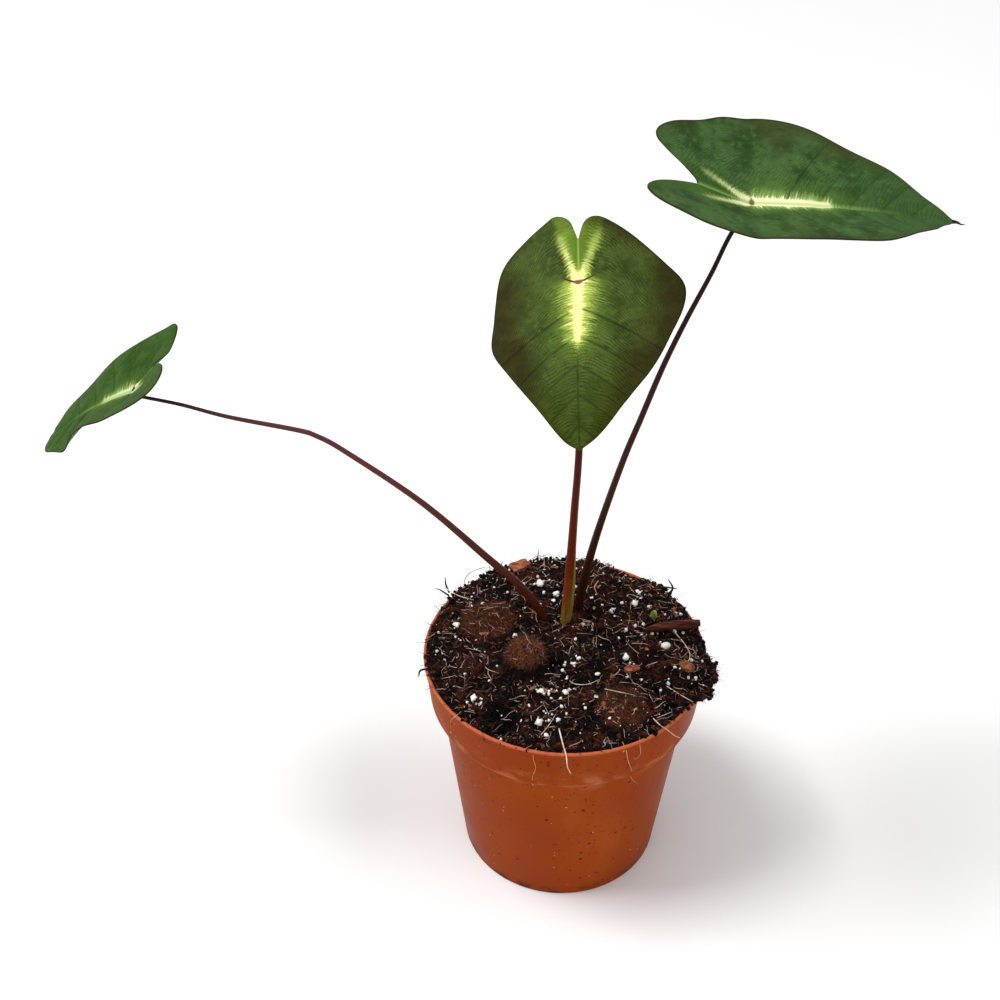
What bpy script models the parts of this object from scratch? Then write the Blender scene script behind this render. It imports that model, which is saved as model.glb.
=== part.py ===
"""Potted alocasia: three heart-shaped leaves on long stalks, grown from one corm, standing in a
moulded nursery pot filled with a heaped mix of peat, coir, bark and perlite.

Frame: metres, +Z up, origin on the ground under the middle of the pot, front of the plant at -Y.
The sizes below are in millimetres and are scaled by MM where the meshes are made."""

import math

import bmesh
import bpy
from mathutils import Vector, noise
from mathutils.bvhtree import BVHTree

MM = 0.001
GAP = 0.35              # clearance between pieces that touch

# Pot: 12 cm nursery pot, injection moulded
POT_HEIGHT = 107.0
RIM_RADIUS = 60.0
BAND_BOTTOM_RADIUS = 57.5
BAND_HEIGHT = 22.0      # the stiff band under the lip
WALL_TOP_RADIUS = 53.0  # just under the band's step
FOOT_RADIUS = 43.5
WALL = 1.2
LIP_DROP = 2.0
STEP_DROP = 2.4
BASE_LIFT = 1.0         # how far the drained floor stands off the ground
FOOT_WIDTH = 5.0
BOSS_RADIUS = 12.0      # the flat middle of the base, level with the foot
DRAIN_RADIUS = 3.8
DRAIN_CIRCLE = 30.0
DRAINS = 8
TURN_STEPS = 64

# Potting mix
MIX_EDGE = 107.0        # level of the mix against the rim
MIX_HEAP = 6.4          # rise from the rim to the middle
MIX_TILT = 1.5          # extra height at the back, taken off at the front
MIX_SPILL = 6.0         # how far the mix hangs out over the rim on the right
SPILL_TURN = math.radians(-17.0)
SPILL_SPREAD = math.radians(27.0)
SPILL_CORE = 0.3        # share of the spread over which the edge stays at the wall
SHOULDER_DROP = 2.3     # how far under the lip the mix meets the wall
SPILL_THICKNESS = 0.9
RING_SHARES = (0.99, 0.95, 0.88, 0.78, 0.68, 0.58, 0.48, 0.38, 0.28, 0.18, 0.08)

# Corm, under the surface
CORM = Vector((0.0, 14.0, 0.0))
CORM_TOP = 96.6
CORM_HEIGHT = 27.0
CORM_RADIUS = 11.5
CORM_SIDES = 20
CORM_LEVELS = 9
STALK_START = CORM_TOP + GAP

# Leaves
BLADE_THICKNESS = 0.6
MIDRIB_SOFTNESS = 3.0   # width over which the fold along the midrib is rounded
TIP_START = 4.0         # along the midrib, where a folded first half starts to flatten
TIP_REACH = 34.0        # and the length over which it does
BLADE_ROWS = 26
BLADE_COLUMNS = 6       # on each side of the midrib
STALK_SIDES = 12
STALK_ROWS = 28
LINE_STEPS = 400        # of a curve before its points are spaced out evenly


def smoothstep(value):
    value = min(1.0, max(0.0, value))
    return value * value * (3.0 - 2.0 * value)


def finish(name, bm, colour, roughness, smooth_angle=35.0):
    """Turn a bmesh in millimetres into a named object in metres with its own material."""
    bmesh.ops.recalc_face_normals(bm, faces=bm.faces)
    bmesh.ops.scale(bm, vec=(MM, MM, MM), verts=bm.verts)
    mesh = bpy.data.meshes.new(name)
    bm.to_mesh(mesh)
    bm.free()
    mesh.shade_smooth()
    mesh.set_sharp_from_angle(angle=math.radians(smooth_angle))
    material = bpy.data.materials.new(name)
    material.use_nodes = True
    shader = material.node_tree.nodes["Principled BSDF"]
    shader.inputs["Base Color"].default_value = (*colour, 1.0)
    shader.inputs["Roughness"].default_value = roughness
    shader.inputs["Metallic"].default_value = 0.0
    mesh.materials.append(material)
    piece = bpy.data.objects.new(name, mesh)
    bpy.context.scene.collection.objects.link(piece)
    return piece


def loft(rings):
    """A closed body through rings of points, each end closed by a face."""
    bm = bmesh.new()
    rows = [[bm.verts.new(point) for point in ring] for ring in rings]
    for low, high in zip(rows, rows[1:]):
        for i in range(len(low)):
            j = (i + 1) % len(low)
            bm.faces.new((low[i], low[j], high[j], high[i]))
    bm.faces.new(reversed(rows[0]))
    bm.faces.new(rows[-1])
    return bm


def turned(profile, steps):
    """A closed body turned about the Z axis from (radius, height) points that start and end on it."""
    bm = bmesh.new()
    verts = [bm.verts.new((radius, 0.0, height)) for radius, height in profile]
    edges = [bm.edges.new(pair) for pair in zip(verts, verts[1:])]
    bmesh.ops.spin(bm, geom=verts + edges, cent=(0, 0, 0), axis=(0, 0, 1), angle=math.tau,
                   steps=steps, use_merge=True)
    bmesh.ops.remove_doubles(bm, verts=bm.verts, dist=0.01)
    return bm


def curve_through(points, count):
    """Evenly numbered points along a Catmull-Rom curve through hand-set points."""
    points = [Vector(point) for point in points]
    padded = [2 * points[0] - points[1]] + points + [2 * points[-1] - points[-2]]
    spans = len(points) - 1
    found = []
    for i in range(count):
        place = i / (count - 1) * spans
        span = min(int(place), spans - 1)
        t = place - span
        a, b, c, d = padded[span:span + 4]
        found.append(0.5 * (2 * b + (c - a) * t + (2 * a - 5 * b + 4 * c - d) * t * t
                            + (3 * b - a - 3 * c + d) * t ** 3))
    return found


def even_along(points, count):
    """The same line with its points spaced equally along its length."""
    lengths = [0.0]
    for a, b in zip(points, points[1:]):
        lengths.append(lengths[-1] + (b - a).length)
    found = []
    k = 0
    for i in range(count):
        target = lengths[-1] * i / (count - 1)
        while k < len(points) - 2 and lengths[k + 1] < target:
            k += 1
        t = (target - lengths[k]) / (lengths[k + 1] - lengths[k])
        found.append(points[k].lerp(points[k + 1], t))
    return found


def cut(piece, cutter):
    """Cut one piece out of another with a Boolean that stays on the object."""
    cutter.hide_render = True
    cutter.display_type = "WIRE"
    modifier = piece.modifiers.new("cut_" + cutter.name, "BOOLEAN")
    modifier.operation = "DIFFERENCE"
    modifier.solver = "EXACT"
    modifier.object = cutter


# ---------------------------------------------------------------- pot

def pot_inner_profile(clearance):
    """The inside of the pot from the floor's edge up to the lip, moved inwards by a clearance."""
    step = POT_HEIGHT - BAND_HEIGHT
    floor = BASE_LIFT + WALL
    return [
        (FOOT_RADIUS - WALL - clearance, floor + clearance),
        (WALL_TOP_RADIUS - WALL - clearance, step - STEP_DROP + clearance * 0.5),
        (BAND_BOTTOM_RADIUS - WALL - clearance, step + WALL + clearance * 0.5),
        (RIM_RADIUS - WALL - clearance, POT_HEIGHT - LIP_DROP),
    ]


def make_pot():
    step = POT_HEIGHT - BAND_HEIGHT
    lip = 0.5
    inner = pot_inner_profile(0.0)
    outer = [
        (0.0, 0.0),
        (BOSS_RADIUS, 0.0),
        (BOSS_RADIUS + 0.6, BASE_LIFT),
        (FOOT_RADIUS - FOOT_WIDTH, BASE_LIFT),
        (FOOT_RADIUS - FOOT_WIDTH + 0.6, 0.0),
        (FOOT_RADIUS - 0.4, 0.0),
        (FOOT_RADIUS, 0.5),
        (WALL_TOP_RADIUS, step - STEP_DROP),
        (WALL_TOP_RADIUS + 0.5, step - 1.2),
        (BAND_BOTTOM_RADIUS - 0.8, step - 0.4),
        (BAND_BOTTOM_RADIUS, step + 0.4),
        (RIM_RADIUS - 0.6, POT_HEIGHT - LIP_DROP - 0.6),
        (RIM_RADIUS, POT_HEIGHT - LIP_DROP),
        (RIM_RADIUS, POT_HEIGHT - lip),
        (RIM_RADIUS - lip, POT_HEIGHT),
        (RIM_RADIUS - WALL, POT_HEIGHT),
    ]
    floor = [(0.0, BASE_LIFT + WALL)]
    bm = turned(outer + list(reversed(inner)) + floor, TURN_STEPS)
    pot = finish("pot", bm, (0.36, 0.075, 0.022), 0.42)

    drains = bmesh.new()
    for i in range(DRAINS):
        turn = math.tau * (i + 0.5) / DRAINS
        made = bmesh.ops.create_cone(drains, cap_ends=True, segments=14, radius1=DRAIN_RADIUS,
                                     radius2=DRAIN_RADIUS, depth=4 * WALL)
        place = (DRAIN_CIRCLE * math.cos(turn), DRAIN_CIRCLE * math.sin(turn), BASE_LIFT + WALL / 2)
        bmesh.ops.translate(drains, vec=place, verts=made["verts"])
    cut(pot, finish("drain_cutter", drains, (0.5, 0.5, 0.5), 0.5))
    return pot


# ---------------------------------------------------------------- potting mix

# Lumps and hollows of the surface: x, y, radius, height
MIX_LUMPS = (
    (-17.0, -12.5, 9.6, 8.5),
    (-33.0, 12.0, 14.0, 3.4),
    (22.0, -38.0, 12.0, 3.0),
    (46.0, -16.0, 11.0, 2.2),
    (10.0, 44.0, 10.0, 2.0),
    (-20.0, 40.0, 12.0, 1.8),
    (-44.0, -18.0, 9.0, 1.6),
    (36.0, 26.0, 11.0, 1.6),
    (-26.0, -42.0, 8.5, -7.0),
    (-27.0, -3.0, 4.5, -3.6),
    (-4.5, -15.0, 4.5, -3.6),
    (4.0, -27.0, 6.0, -2.4),
    (20.0, -2.0, 8.0, -2.2),
    (36.0, -26.0, 5.5, -2.6),
)
LUMP_STEEPNESS = 1.5
ROUGHNESS_SCALE = 0.16
ROUGHNESS_HEIGHT = 1.1


def mix_height(x, y):
    """Level of the heaped surface above the ground at a place inside the rim."""
    reach = math.hypot(x, y) / RIM_RADIUS
    level = MIX_EDGE + MIX_HEAP * (1.0 - min(1.0, reach) ** 3) + MIX_TILT * y / RIM_RADIUS
    for lump_x, lump_y, radius, height in MIX_LUMPS:
        away = math.hypot(x - lump_x, y - lump_y) / radius
        level += height * math.exp(-LUMP_STEEPNESS * away ** 3)
    calm = 1.0 - 0.7 * smoothstep((reach - 0.8) / 0.2)
    place = (x * ROUGHNESS_SCALE, y * ROUGHNESS_SCALE, 3.0)
    return level + ROUGHNESS_HEIGHT * calm * noise.noise(place)


def make_mix():
    """Root ball shaped by the pot, heaped on top, hanging a little over the rim on the right."""
    turns = [math.tau * i / TURN_STEPS for i in range(TURN_STEPS)]

    def ring(radius_at, height_at):
        return [(radius_at(a) * math.cos(a), radius_at(a) * math.sin(a), height_at(a)) for a in turns]

    def spill(turn):
        away = (turn - SPILL_TURN + math.pi) % math.tau - math.pi
        return 1.0 - smoothstep(abs(away) / SPILL_SPREAD)

    inner = pot_inner_profile(GAP)
    edge = RIM_RADIUS - WALL - GAP
    under = MIX_EDGE - SHOULDER_DROP
    lip = POT_HEIGHT + GAP
    rings = [ring(lambda a, r=r: r, lambda a, z=z: z) for r, z in inner[:-1]]

    def lip_level(turn):
        return under + (lip - under) * smoothstep(4.0 * spill(turn))

    def spill_radius(turn):
        ripple = 1.0 + 0.18 * math.sin(9.0 * turn) + 0.1 * math.sin(23.0 * turn)
        out = smoothstep((spill(turn) - SPILL_CORE) / (1.0 - SPILL_CORE))
        return edge + MIX_SPILL * ripple * out

    rings.append(ring(lambda a: edge, lip_level))
    rings.append(ring(spill_radius, lambda a: lip_level(a) + 0.25))
    for share in RING_SHARES:
        outer = spill_radius if share > 0.9 else (lambda a: edge)
        flat = ring(lambda a, r=outer, s=share: r(a) * s, lambda a: lip_level(a) + SPILL_THICKNESS)
        rings.append([(x, y, max(z, mix_height(x, y))) for x, y, z in flat])
    bm = loft(rings)
    return finish("potting_mix", bm, (0.035, 0.014, 0.008), 0.95, 60.0)


def surface_finder(mix):
    """A function that gives the highest point of the mix's mesh under a round footprint."""
    tree = BVHTree.FromPolygons([vert.co / MM for vert in mix.data.vertices],
                                [tuple(face.vertices) for face in mix.data.polygons])
    down = Vector((0.0, 0.0, -1.0))
    above = 2 * POT_HEIGHT

    def highest(x, y, radius):
        spots = [(x, y)]
        for i in range(8):
            turn = math.tau * i / 8
            spots.append((x + radius * math.cos(turn), y + radius * math.sin(turn)))
        hits = [tree.ray_cast(Vector((*spot, above)), down)[0] for spot in spots]
        return max(hit.z for hit in hits if hit)

    return highest


# ---------------------------------------------------------------- corm

def corm_rings(extra):
    """The tuber's outline grown by a clearance: a flat crown, ringed shoulders and a blunt foot."""
    rings = []
    for i in range(CORM_LEVELS + 1):
        share = i / CORM_LEVELS
        height = CORM_TOP - CORM_HEIGHT * (1.0 - share)
        body = math.sin(math.pi * (0.16 + 0.66 * share)) ** 0.7
        radius = CORM_RADIUS * body * (1.0 + 0.02 * math.cos(i * math.pi)) + extra
        if i == 0:
            height -= extra
        if i == CORM_LEVELS:
            height += extra
        turns = [math.tau * k / CORM_SIDES for k in range(CORM_SIDES)]
        rings.append([(CORM.x + radius * math.cos(turn), CORM.y + radius * math.sin(turn), height)
                      for turn in turns])
    return rings


# ---------------------------------------------------------------- leaves

# Each leaf: where the stalk meets the blade, the way its midrib and upper face point there, how the
# blade bends and folds, its two half outlines as (along the midrib, out from it), and its stalk's
# route from the crown up with its radius at even steps.
LEAVES = {
    "left": {
        "joint": (-165.0, 2.0, 237.4),
        "midrib": (-0.819, 0.320, -0.476),
        "upper": (-0.521, -0.069, 0.851),
        "bend_tip": 0.0059, "bend_lobes": 0.0026,
        "fold": (0.34, 0.05), "tip_flattens": 0.42, "sinus_lift": 0.26, "lobe_lift": 0.19,
        "halves": (
            ((60.5, 0), (60, 3), (57.5, 6.5), (52, 10), (45, 13.5), (32, 19), (19, 22.5), (5, 23),
             (-8, 23.5), (-19, 24), (-28, 21), (-32.5, 15), (-31, 9.5), (-26, 4.5), (-16.5, 0)),
            ((60.5, 0), (60, 3.4), (57.5, 7.2), (52, 11.2), (45, 15), (32, 22), (19, 27), (5, 31),
             (-5, 32.5), (-10, 30), (-13.2, 24.5), (-15, 17.5), (-16.2, 10.5), (-17, 4), (-16.5, 0)),
        ),
        "stalk": ((-6.0, 14.4, STALK_START), (-8.2, 13.0, 112.0), (-16.9, 11.9, 129.9),
                  (-33.1, 10.8, 149.4), (-59.1, 8.9, 179.5), (-88.1, 6.9, 206.1), (-98.2, 6.2, 213.6),
                  (-105.5, 5.7, 216.8), (-130.5, 4.2, 223.8), (-148.0, 3.2, 230.2)),
        "radii": (1.9, 1.75, 1.6, 1.35, 1.2, 1.05, 0.95, 0.75, 0.65),
        "colour": (0.055, 0.105, 0.028), "stalk_colour": (0.10, 0.025, 0.018), "sheath": 0.0,
    },
    "centre": {
        "joint": (-0.7, -15.0, 292.6),
        "midrib": (-0.056, -0.922, -0.383),
        "upper": (-0.332, -0.344, 0.878),
        "bend_tip": 0.0040, "bend_lobes": 0.0024,
        "fold": (-0.40, -0.12), "tip_flattens": 0.0, "sinus_lift": 0.03, "lobe_lift": 0.18,
        "halves": (
            ((64, 0), (59, 6), (47, 15), (33, 24), (20, 30), (8, 34), (-2, 34), (-10, 28),
             (-20, 18), (-25, 10.5), (-26, 6), (-23.5, 2.5), (-17, 0)),
            ((64, 0), (59, 6), (46, 15), (32, 25), (21, 31.5), (9, 31.6), (-5, 31), (-14, 28),
             (-21, 20.5), (-26, 12.5), (-27.5, 8), (-24.5, 3), (-17, 0)),
        ),
        "stalk": ((0.0, 11.0, STALK_START), (0.0, 10.5, 112.0), (1.2, 7.2, 138.9), (2.0, 2.0, 179.8),
                  (2.6, -2.3, 211.7), (2.0, -8.5, 255.0), (0.7, -12.9, 280.0)),
        "radii": (1.3, 1.9, 2.0, 1.7, 1.5, 1.4, 1.3, 1.2, 1.1),
        "colour": (0.040, 0.060, 0.022), "stalk_colour": (0.09, 0.018, 0.014), "sheath": 0.55,
    },
    "right": {
        "joint": (58.5, -1.2, 315.6),
        "midrib": (0.999, -0.045, 0.009),
        "upper": (-0.020, -0.242, 0.970),
        "bend_tip": 0.0030, "bend_lobes": 0.0029,
        "fold": (0.21, 0.42), "tip_flattens": 0.0, "sinus_lift": 0.10, "lobe_lift": 0.45,
        "halves": (
            ((70, 0), (63, 6.5), (49, 17), (31, 27), (16, 34), (3, 36.5), (-8, 35), (-17, 30),
             (-26, 26), (-31, 21), (-31.5, 16), (-28, 11), (-23, 6), (-18, 0)),
            ((70, 0), (64, 5.5), (56, 13), (42, 24.5), (30, 29.5), (17, 30.5), (4, 30.5), (-8, 31.5),
             (-17, 31), (-25, 26.5), (-32, 21.5), (-35, 16), (-33, 10.5), (-27, 5), (-18, 0)),
        ),
        "stalk": ((5.2, 17.6, STALK_START), (5.4, 18.3, 111.0), (10.8, 15.5, 149.5),
                  (20.0, 11.8, 193.8), (27.0, 9.3, 220.8), (33.3, 7.0, 244.5), (39.8, 4.8, 265.1),
                  (47.2, 2.4, 286.2), (52.6, 0.4, 303.3)),
        "radii": (1.7, 1.8, 1.6, 1.4, 1.25, 1.15, 1.0, 0.85, 0.75),
        "colour": (0.045, 0.100, 0.035), "stalk_colour": (0.045, 0.012, 0.012), "sheath": 0.2,
    },
}
NECK = 3.0              # where the stalk turns square to the blade, under its joint
SEAT = 0.25             # how far short of the blade's gap the stalk ends
WING_WIDTH = 0.6        # of the sheath's wing, round the stalk


def leaf_axes(leaf):
    """Unit vectors along the midrib, out to the first half's side, and up from the blade."""
    along = Vector(leaf["midrib"]).normalized()
    up = Vector(leaf["upper"])
    up = (up - along * up.dot(along)).normalized()
    return along, up.cross(along), up


def blade_point(leaf, s, t):
    """Point of the upper face at s along the midrib from the joint and t out from it."""
    along, side, up = leaf_axes(leaf)
    bend = leaf["bend_tip"] if s > 0 else leaf["bend_lobes"]
    angle = bend * s
    spine = along * (math.sin(angle) / bend) - up * ((1.0 - math.cos(angle)) / bend)
    square = along * math.sin(angle) + up * math.cos(angle)
    fold = leaf["fold"][0] if t > 0 else leaf["fold"][1]
    if t > 0:
        fold -= leaf["tip_flattens"] * smoothstep((s - TIP_START) / TIP_REACH)
    rear = max(-s, 0.0)
    soft = MIDRIB_SOFTNESS
    height = fold * (math.hypot(t, soft) - soft)
    height += leaf["sinus_lift"] * rear * math.exp(-(t / (0.45 * rear + 1.0)) ** 2)
    height += leaf["lobe_lift"] * (math.hypot(rear, soft) - soft)
    return Vector(leaf["joint"]) + spine + square * height + side * t


def make_blade(name, leaf):
    """Both halves of a blade as rows from midrib to margin, given a thickness downwards."""
    halves = []
    for outline in leaf["halves"]:
        line = curve_through([(s, t, 0.0) for s, t in outline], LINE_STEPS)
        halves.append(even_along(line, BLADE_ROWS + 1))
    tip = halves[0][0].x
    sinus = halves[0][-1].x
    bm = bmesh.new()
    middle = []
    for i in range(BLADE_ROWS + 1):
        share = i / BLADE_ROWS
        middle.append(bm.verts.new(blade_point(leaf, tip + (sinus - tip) * share, 0.0)))
    for half, sign in zip(halves, (1.0, -1.0)):
        rows = []
        for i in range(1, BLADE_ROWS):
            s = tip + (sinus - tip) * i / BLADE_ROWS
            row = [middle[i]]
            for k in range(1, BLADE_COLUMNS + 1):
                out = k / BLADE_COLUMNS
                place = (s + (half[i].x - s) * out, half[i].y * out * sign)
                row.append(bm.verts.new(blade_point(leaf, *place)))
            rows.append(row)
        for near, far in zip(rows, rows[1:]):
            for k in range(BLADE_COLUMNS):
                bm.faces.new((near[k], near[k + 1], far[k + 1], far[k]))
        for k in range(BLADE_COLUMNS):
            bm.faces.new((middle[0], rows[0][k + 1], rows[0][k]))
            bm.faces.new((middle[-1], rows[-1][k], rows[-1][k + 1]))
    bmesh.ops.recalc_face_normals(bm, faces=bm.faces)
    upwards = sum((face.normal for face in bm.faces), Vector()).dot(leaf_axes(leaf)[2])
    if upwards < 0:
        bmesh.ops.reverse_faces(bm, faces=bm.faces)
    bmesh.ops.solidify(bm, geom=bm.faces, thickness=BLADE_THICKNESS)
    return finish(name, bm, leaf["colour"], 0.45, 50.0)


def stalk_rings(leaf, extra, top):
    """Rings along a stalk, thickened by a clearance, up to a height or to the blade."""
    up = leaf_axes(leaf)[2]
    joint = Vector(leaf["joint"])
    route = [Vector(point) for point in leaf["stalk"]]
    route += [joint - up * NECK, joint - up * (BLADE_THICKNESS + GAP + SEAT)]
    line = even_along(curve_through(route, LINE_STEPS), STALK_ROWS + 1)
    widths = curve_through([(radius, 0.0, 0.0) for radius in leaf["radii"]], STALK_ROWS + 1)
    rings = []
    across = Vector((1.0, 0.0, 0.0))
    for i, centre in enumerate(line):
        if centre.z > top:
            break
        ahead = (line[min(i + 1, STALK_ROWS)] - line[max(i - 1, 0)]).normalized()
        if i == STALK_ROWS:
            ahead = up
        across = (across - ahead * across.dot(ahead)).normalized()
        other = ahead.cross(across)
        share = i / STALK_ROWS
        wing = leaf["sheath"] * smoothstep(share / 0.08) * (1.0 - smoothstep((share - 0.12) / 0.22))
        ring = []
        for k in range(STALK_SIDES):
            turn = math.tau * k / STALK_SIDES
            from_wing = min(turn, math.tau - turn) / WING_WIDTH
            radius = widths[i].x * (1.0 + wing * math.exp(-from_wing ** 2)) + extra
            spoke = across * math.cos(turn) + other * math.sin(turn)
            ring.append(centre + spoke * radius)
        rings.append(ring)
    if extra:
        rings[0] = [point - Vector((0, 0, GAP)) for point in rings[0]]
    return rings


# ---------------------------------------------------------------- what lies on the mix

# Bark chips: x, y, turn, length, width, thickness
CHIPS = (
    (-19.0, 47.0, 0.6, 11.0, 6.5, 1.6),
    (50.0, -16.0, -0.9, 7.0, 4.5, 1.5),
    (27.0, -18.0, 0.2, 7.0, 3.6, 1.4),
)
# The largest perlite grains: x, y, radius
PERLITE = (
    (31, 21, 1.7), (42, -4, 2.0), (3, -16, 1.7), (-1, -31, 1.6), (-11, -31, 1.8), (-12, -45, 1.8),
    (-10, 34, 1.9), (-3, 28, 1.6), (-46, 10, 1.9), (25, -11, 1.7), (21, 17, 1.5), (-38, -32, 1.7),
)
STUB_ENDS = ((35.0, 4.5), (56.0, 8.5))
STUB_RADIUS = 1.9
BUD = (38.5, 14.5)
BUD_RADIUS = 1.7
BUD_HEIGHT = 4.2


def make_chip(number, spec, highest):
    x, y, turn, length, width, thickness = spec
    bm = bmesh.new()
    bmesh.ops.create_grid(bm, x_segments=3, y_segments=2, size=0.5)
    for vert in bm.verts:
        corner = 1.0 - 0.22 * abs(vert.co.x * vert.co.y) * 4.0
        vert.co.x *= length * corner
        vert.co.y *= width * corner * (1.0 + 0.2 * math.sin(5.0 * vert.co.x + number))
    made = bmesh.ops.extrude_face_region(bm, geom=bm.faces[:])
    top = [item for item in made["geom"] if isinstance(item, bmesh.types.BMVert)]
    bmesh.ops.translate(bm, vec=(0, 0, thickness), verts=top)
    bmesh.ops.scale(bm, vec=(0.88, 0.82, 1.0), verts=top)
    level = max(highest(x + math.cos(turn) * length * along, y + math.sin(turn) * length * along,
                        width * 0.55) for along in (-0.4, 0.0, 0.4))
    for vert in bm.verts:
        a, b = vert.co.x, vert.co.y
        vert.co.x = x + a * math.cos(turn) - b * math.sin(turn)
        vert.co.y = y + a * math.sin(turn) + b * math.cos(turn)
        vert.co.z += level + GAP
    return finish(f"bark_chip_{number}", bm, (0.17, 0.06, 0.03), 0.85)


def make_grain(number, spec, highest):
    x, y, radius = spec
    bm = bmesh.new()
    bmesh.ops.create_icosphere(bm, subdivisions=1, radius=radius)
    for vert in bm.verts:
        vert.co *= 1.0 + 0.28 * noise.noise(vert.co * 1.3 + Vector((number * 7.0, 0, 0)))
    low = min(vert.co.z for vert in bm.verts)
    level = highest(x, y, radius)
    bmesh.ops.translate(bm, vec=(x, y, level + GAP - low), verts=bm.verts)
    return finish(f"perlite_{number:02d}", bm, (0.72, 0.70, 0.62), 0.9)


def make_stub(highest):
    """Cut stalk of an earlier leaf, dried and lying on the mix: a thick end and a slanting cut."""
    start, end = (Vector((*place, 0.0)) for place in STUB_ENDS)
    steps = 8
    level = max(highest(*(start.lerp(end, i / steps)).xy, STUB_RADIUS) for i in range(steps + 1))
    across = (end - start).normalized().cross(Vector((0, 0, 1)))
    rings = []
    for i in range(steps + 1):
        share = i / steps
        centre = start.lerp(end, share)
        radius = STUB_RADIUS * (1.0 - 0.25 * share)
        centre.z = level + GAP + STUB_RADIUS + 0.8 * math.sin(math.pi * share)
        ring = []
        for k in range(10):
            turn = math.tau * k / 10
            slant = (end - start).normalized() * (1.6 * math.sin(turn) if i == steps else 0.0)
            ring.append(centre + across * (1.15 * radius * math.cos(turn)) + slant
                        + Vector((0, 0, 0.8 * radius * math.sin(turn))))
        rings.append(ring)
    return finish("old_stalk_stub", loft(rings), (0.09, 0.03, 0.02), 0.8)


def make_bud(highest):
    """Tip of a new shoot from the corm, just through the surface."""
    level = highest(*BUD, BUD_RADIUS) + GAP
    rings = []
    for i in range(7):
        share = i / 6
        radius = BUD_RADIUS * math.sin(math.pi * (0.3 + 0.66 * share)) ** 0.8
        lean = 0.9 * share * share
        rings.append([(BUD[0] + lean + radius * math.cos(math.tau * k / 10),
                       BUD[1] - lean + radius * math.sin(math.tau * k / 10),
                       level + BUD_HEIGHT * share) for k in range(10)])
    return finish("offset_bud", loft(rings), (0.16, 0.25, 0.05), 0.5)


# ---------------------------------------------------------------- assembly

for old in list(bpy.data.objects):
    bpy.data.objects.remove(old, do_unlink=True)

make_pot()
mix = make_mix()
highest_at = surface_finder(mix)
finish("corm", loft(corm_rings(0.0)), (0.13, 0.07, 0.035), 0.85)
cut(mix, finish("corm_cutter", loft(corm_rings(GAP)), (0.5, 0.5, 0.5), 0.5))
for side_name, leaf_spec in LEAVES.items():
    make_blade("leaf_blade_" + side_name, leaf_spec)
    stalk = loft(stalk_rings(leaf_spec, 0.0, math.inf))
    finish("petiole_" + side_name, stalk, leaf_spec["stalk_colour"], 0.4, 60.0)
    channel = loft(stalk_rings(leaf_spec, GAP, 2 * POT_HEIGHT))
    cut(mix, finish(f"petiole_{side_name}_cutter", channel, (0.5, 0.5, 0.5), 0.5))
for index, chip in enumerate(CHIPS, 1):
    make_chip(index, chip, highest_at)
for index, grain in enumerate(PERLITE, 1):
    make_grain(index, grain, highest_at)
make_stub(highest_at)
make_bud(highest_at)
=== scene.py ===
"""Looks of a potted alocasia: three heart-shaped leaves on long stalks in an orange-brown nursery pot
that is heaped with a mix of peat, coir, bark and perlite. Sizes are in millimetres until a piece is
finished, when MM turns them into metres."""
import math

import bmesh
import bpy
import numpy as np
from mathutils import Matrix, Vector, noise


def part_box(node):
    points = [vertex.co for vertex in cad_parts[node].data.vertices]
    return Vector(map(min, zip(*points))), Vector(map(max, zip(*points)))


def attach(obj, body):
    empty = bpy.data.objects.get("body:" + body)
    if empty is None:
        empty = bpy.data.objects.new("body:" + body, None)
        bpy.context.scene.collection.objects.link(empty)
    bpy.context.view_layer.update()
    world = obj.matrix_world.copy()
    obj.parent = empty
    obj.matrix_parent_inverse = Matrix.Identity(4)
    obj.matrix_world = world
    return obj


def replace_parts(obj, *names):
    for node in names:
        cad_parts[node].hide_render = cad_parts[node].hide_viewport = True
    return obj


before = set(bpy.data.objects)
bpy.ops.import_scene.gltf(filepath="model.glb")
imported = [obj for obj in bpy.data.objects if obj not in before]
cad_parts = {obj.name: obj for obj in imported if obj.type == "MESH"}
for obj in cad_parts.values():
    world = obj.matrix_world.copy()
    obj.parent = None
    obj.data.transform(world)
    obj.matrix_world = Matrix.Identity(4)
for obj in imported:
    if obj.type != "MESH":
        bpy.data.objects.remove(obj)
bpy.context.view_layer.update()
MM = 0.001

# ---------------------------------------------------------------- floor, light and camera
# A pale seamless floor under a broad soft overhead light, as on a product table. The camera stands in
# front of the pot and looks down on it.

FLOOR_SIZE = 9.0
CAMERA_PLACE = (-27.5, -467.8, 545.0)
CAMERA_DOWN = math.radians(37.4)
CAMERA_LENS = 54.0


def light(name, place, aim, size, power, colour=(1.0, 1.0, 1.0)):
    """A square soft box at a place, turned to face a point, both in metres."""
    lamp = bpy.data.lights.new(name, "AREA")
    lamp.size = size
    lamp.energy = power
    lamp.color = colour
    holder = bpy.data.objects.new(name, lamp)
    holder.location = place
    holder.rotation_euler = (Vector(aim) - Vector(place)).to_track_quat("-Z", "Y").to_euler()
    bpy.context.scene.collection.objects.link(holder)


light("overhead_softbox", (-1.1, -0.1, 2.6), (0.0, 0.0, 0.15), 0.9, 50.0)
light("front_fill", (0.9, -2.6, 1.6), (0.0, 0.0, 0.15), 1.6, 4.0)

world = bpy.data.worlds.new("studio")
world.use_nodes = True
world.node_tree.nodes["Background"].inputs["Color"].default_value = (1.0, 1.0, 1.0, 1.0)
world.node_tree.nodes["Background"].inputs["Strength"].default_value = 0.64
bpy.context.scene.world = world
bpy.context.scene.view_settings.view_transform = "Standard"

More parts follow.
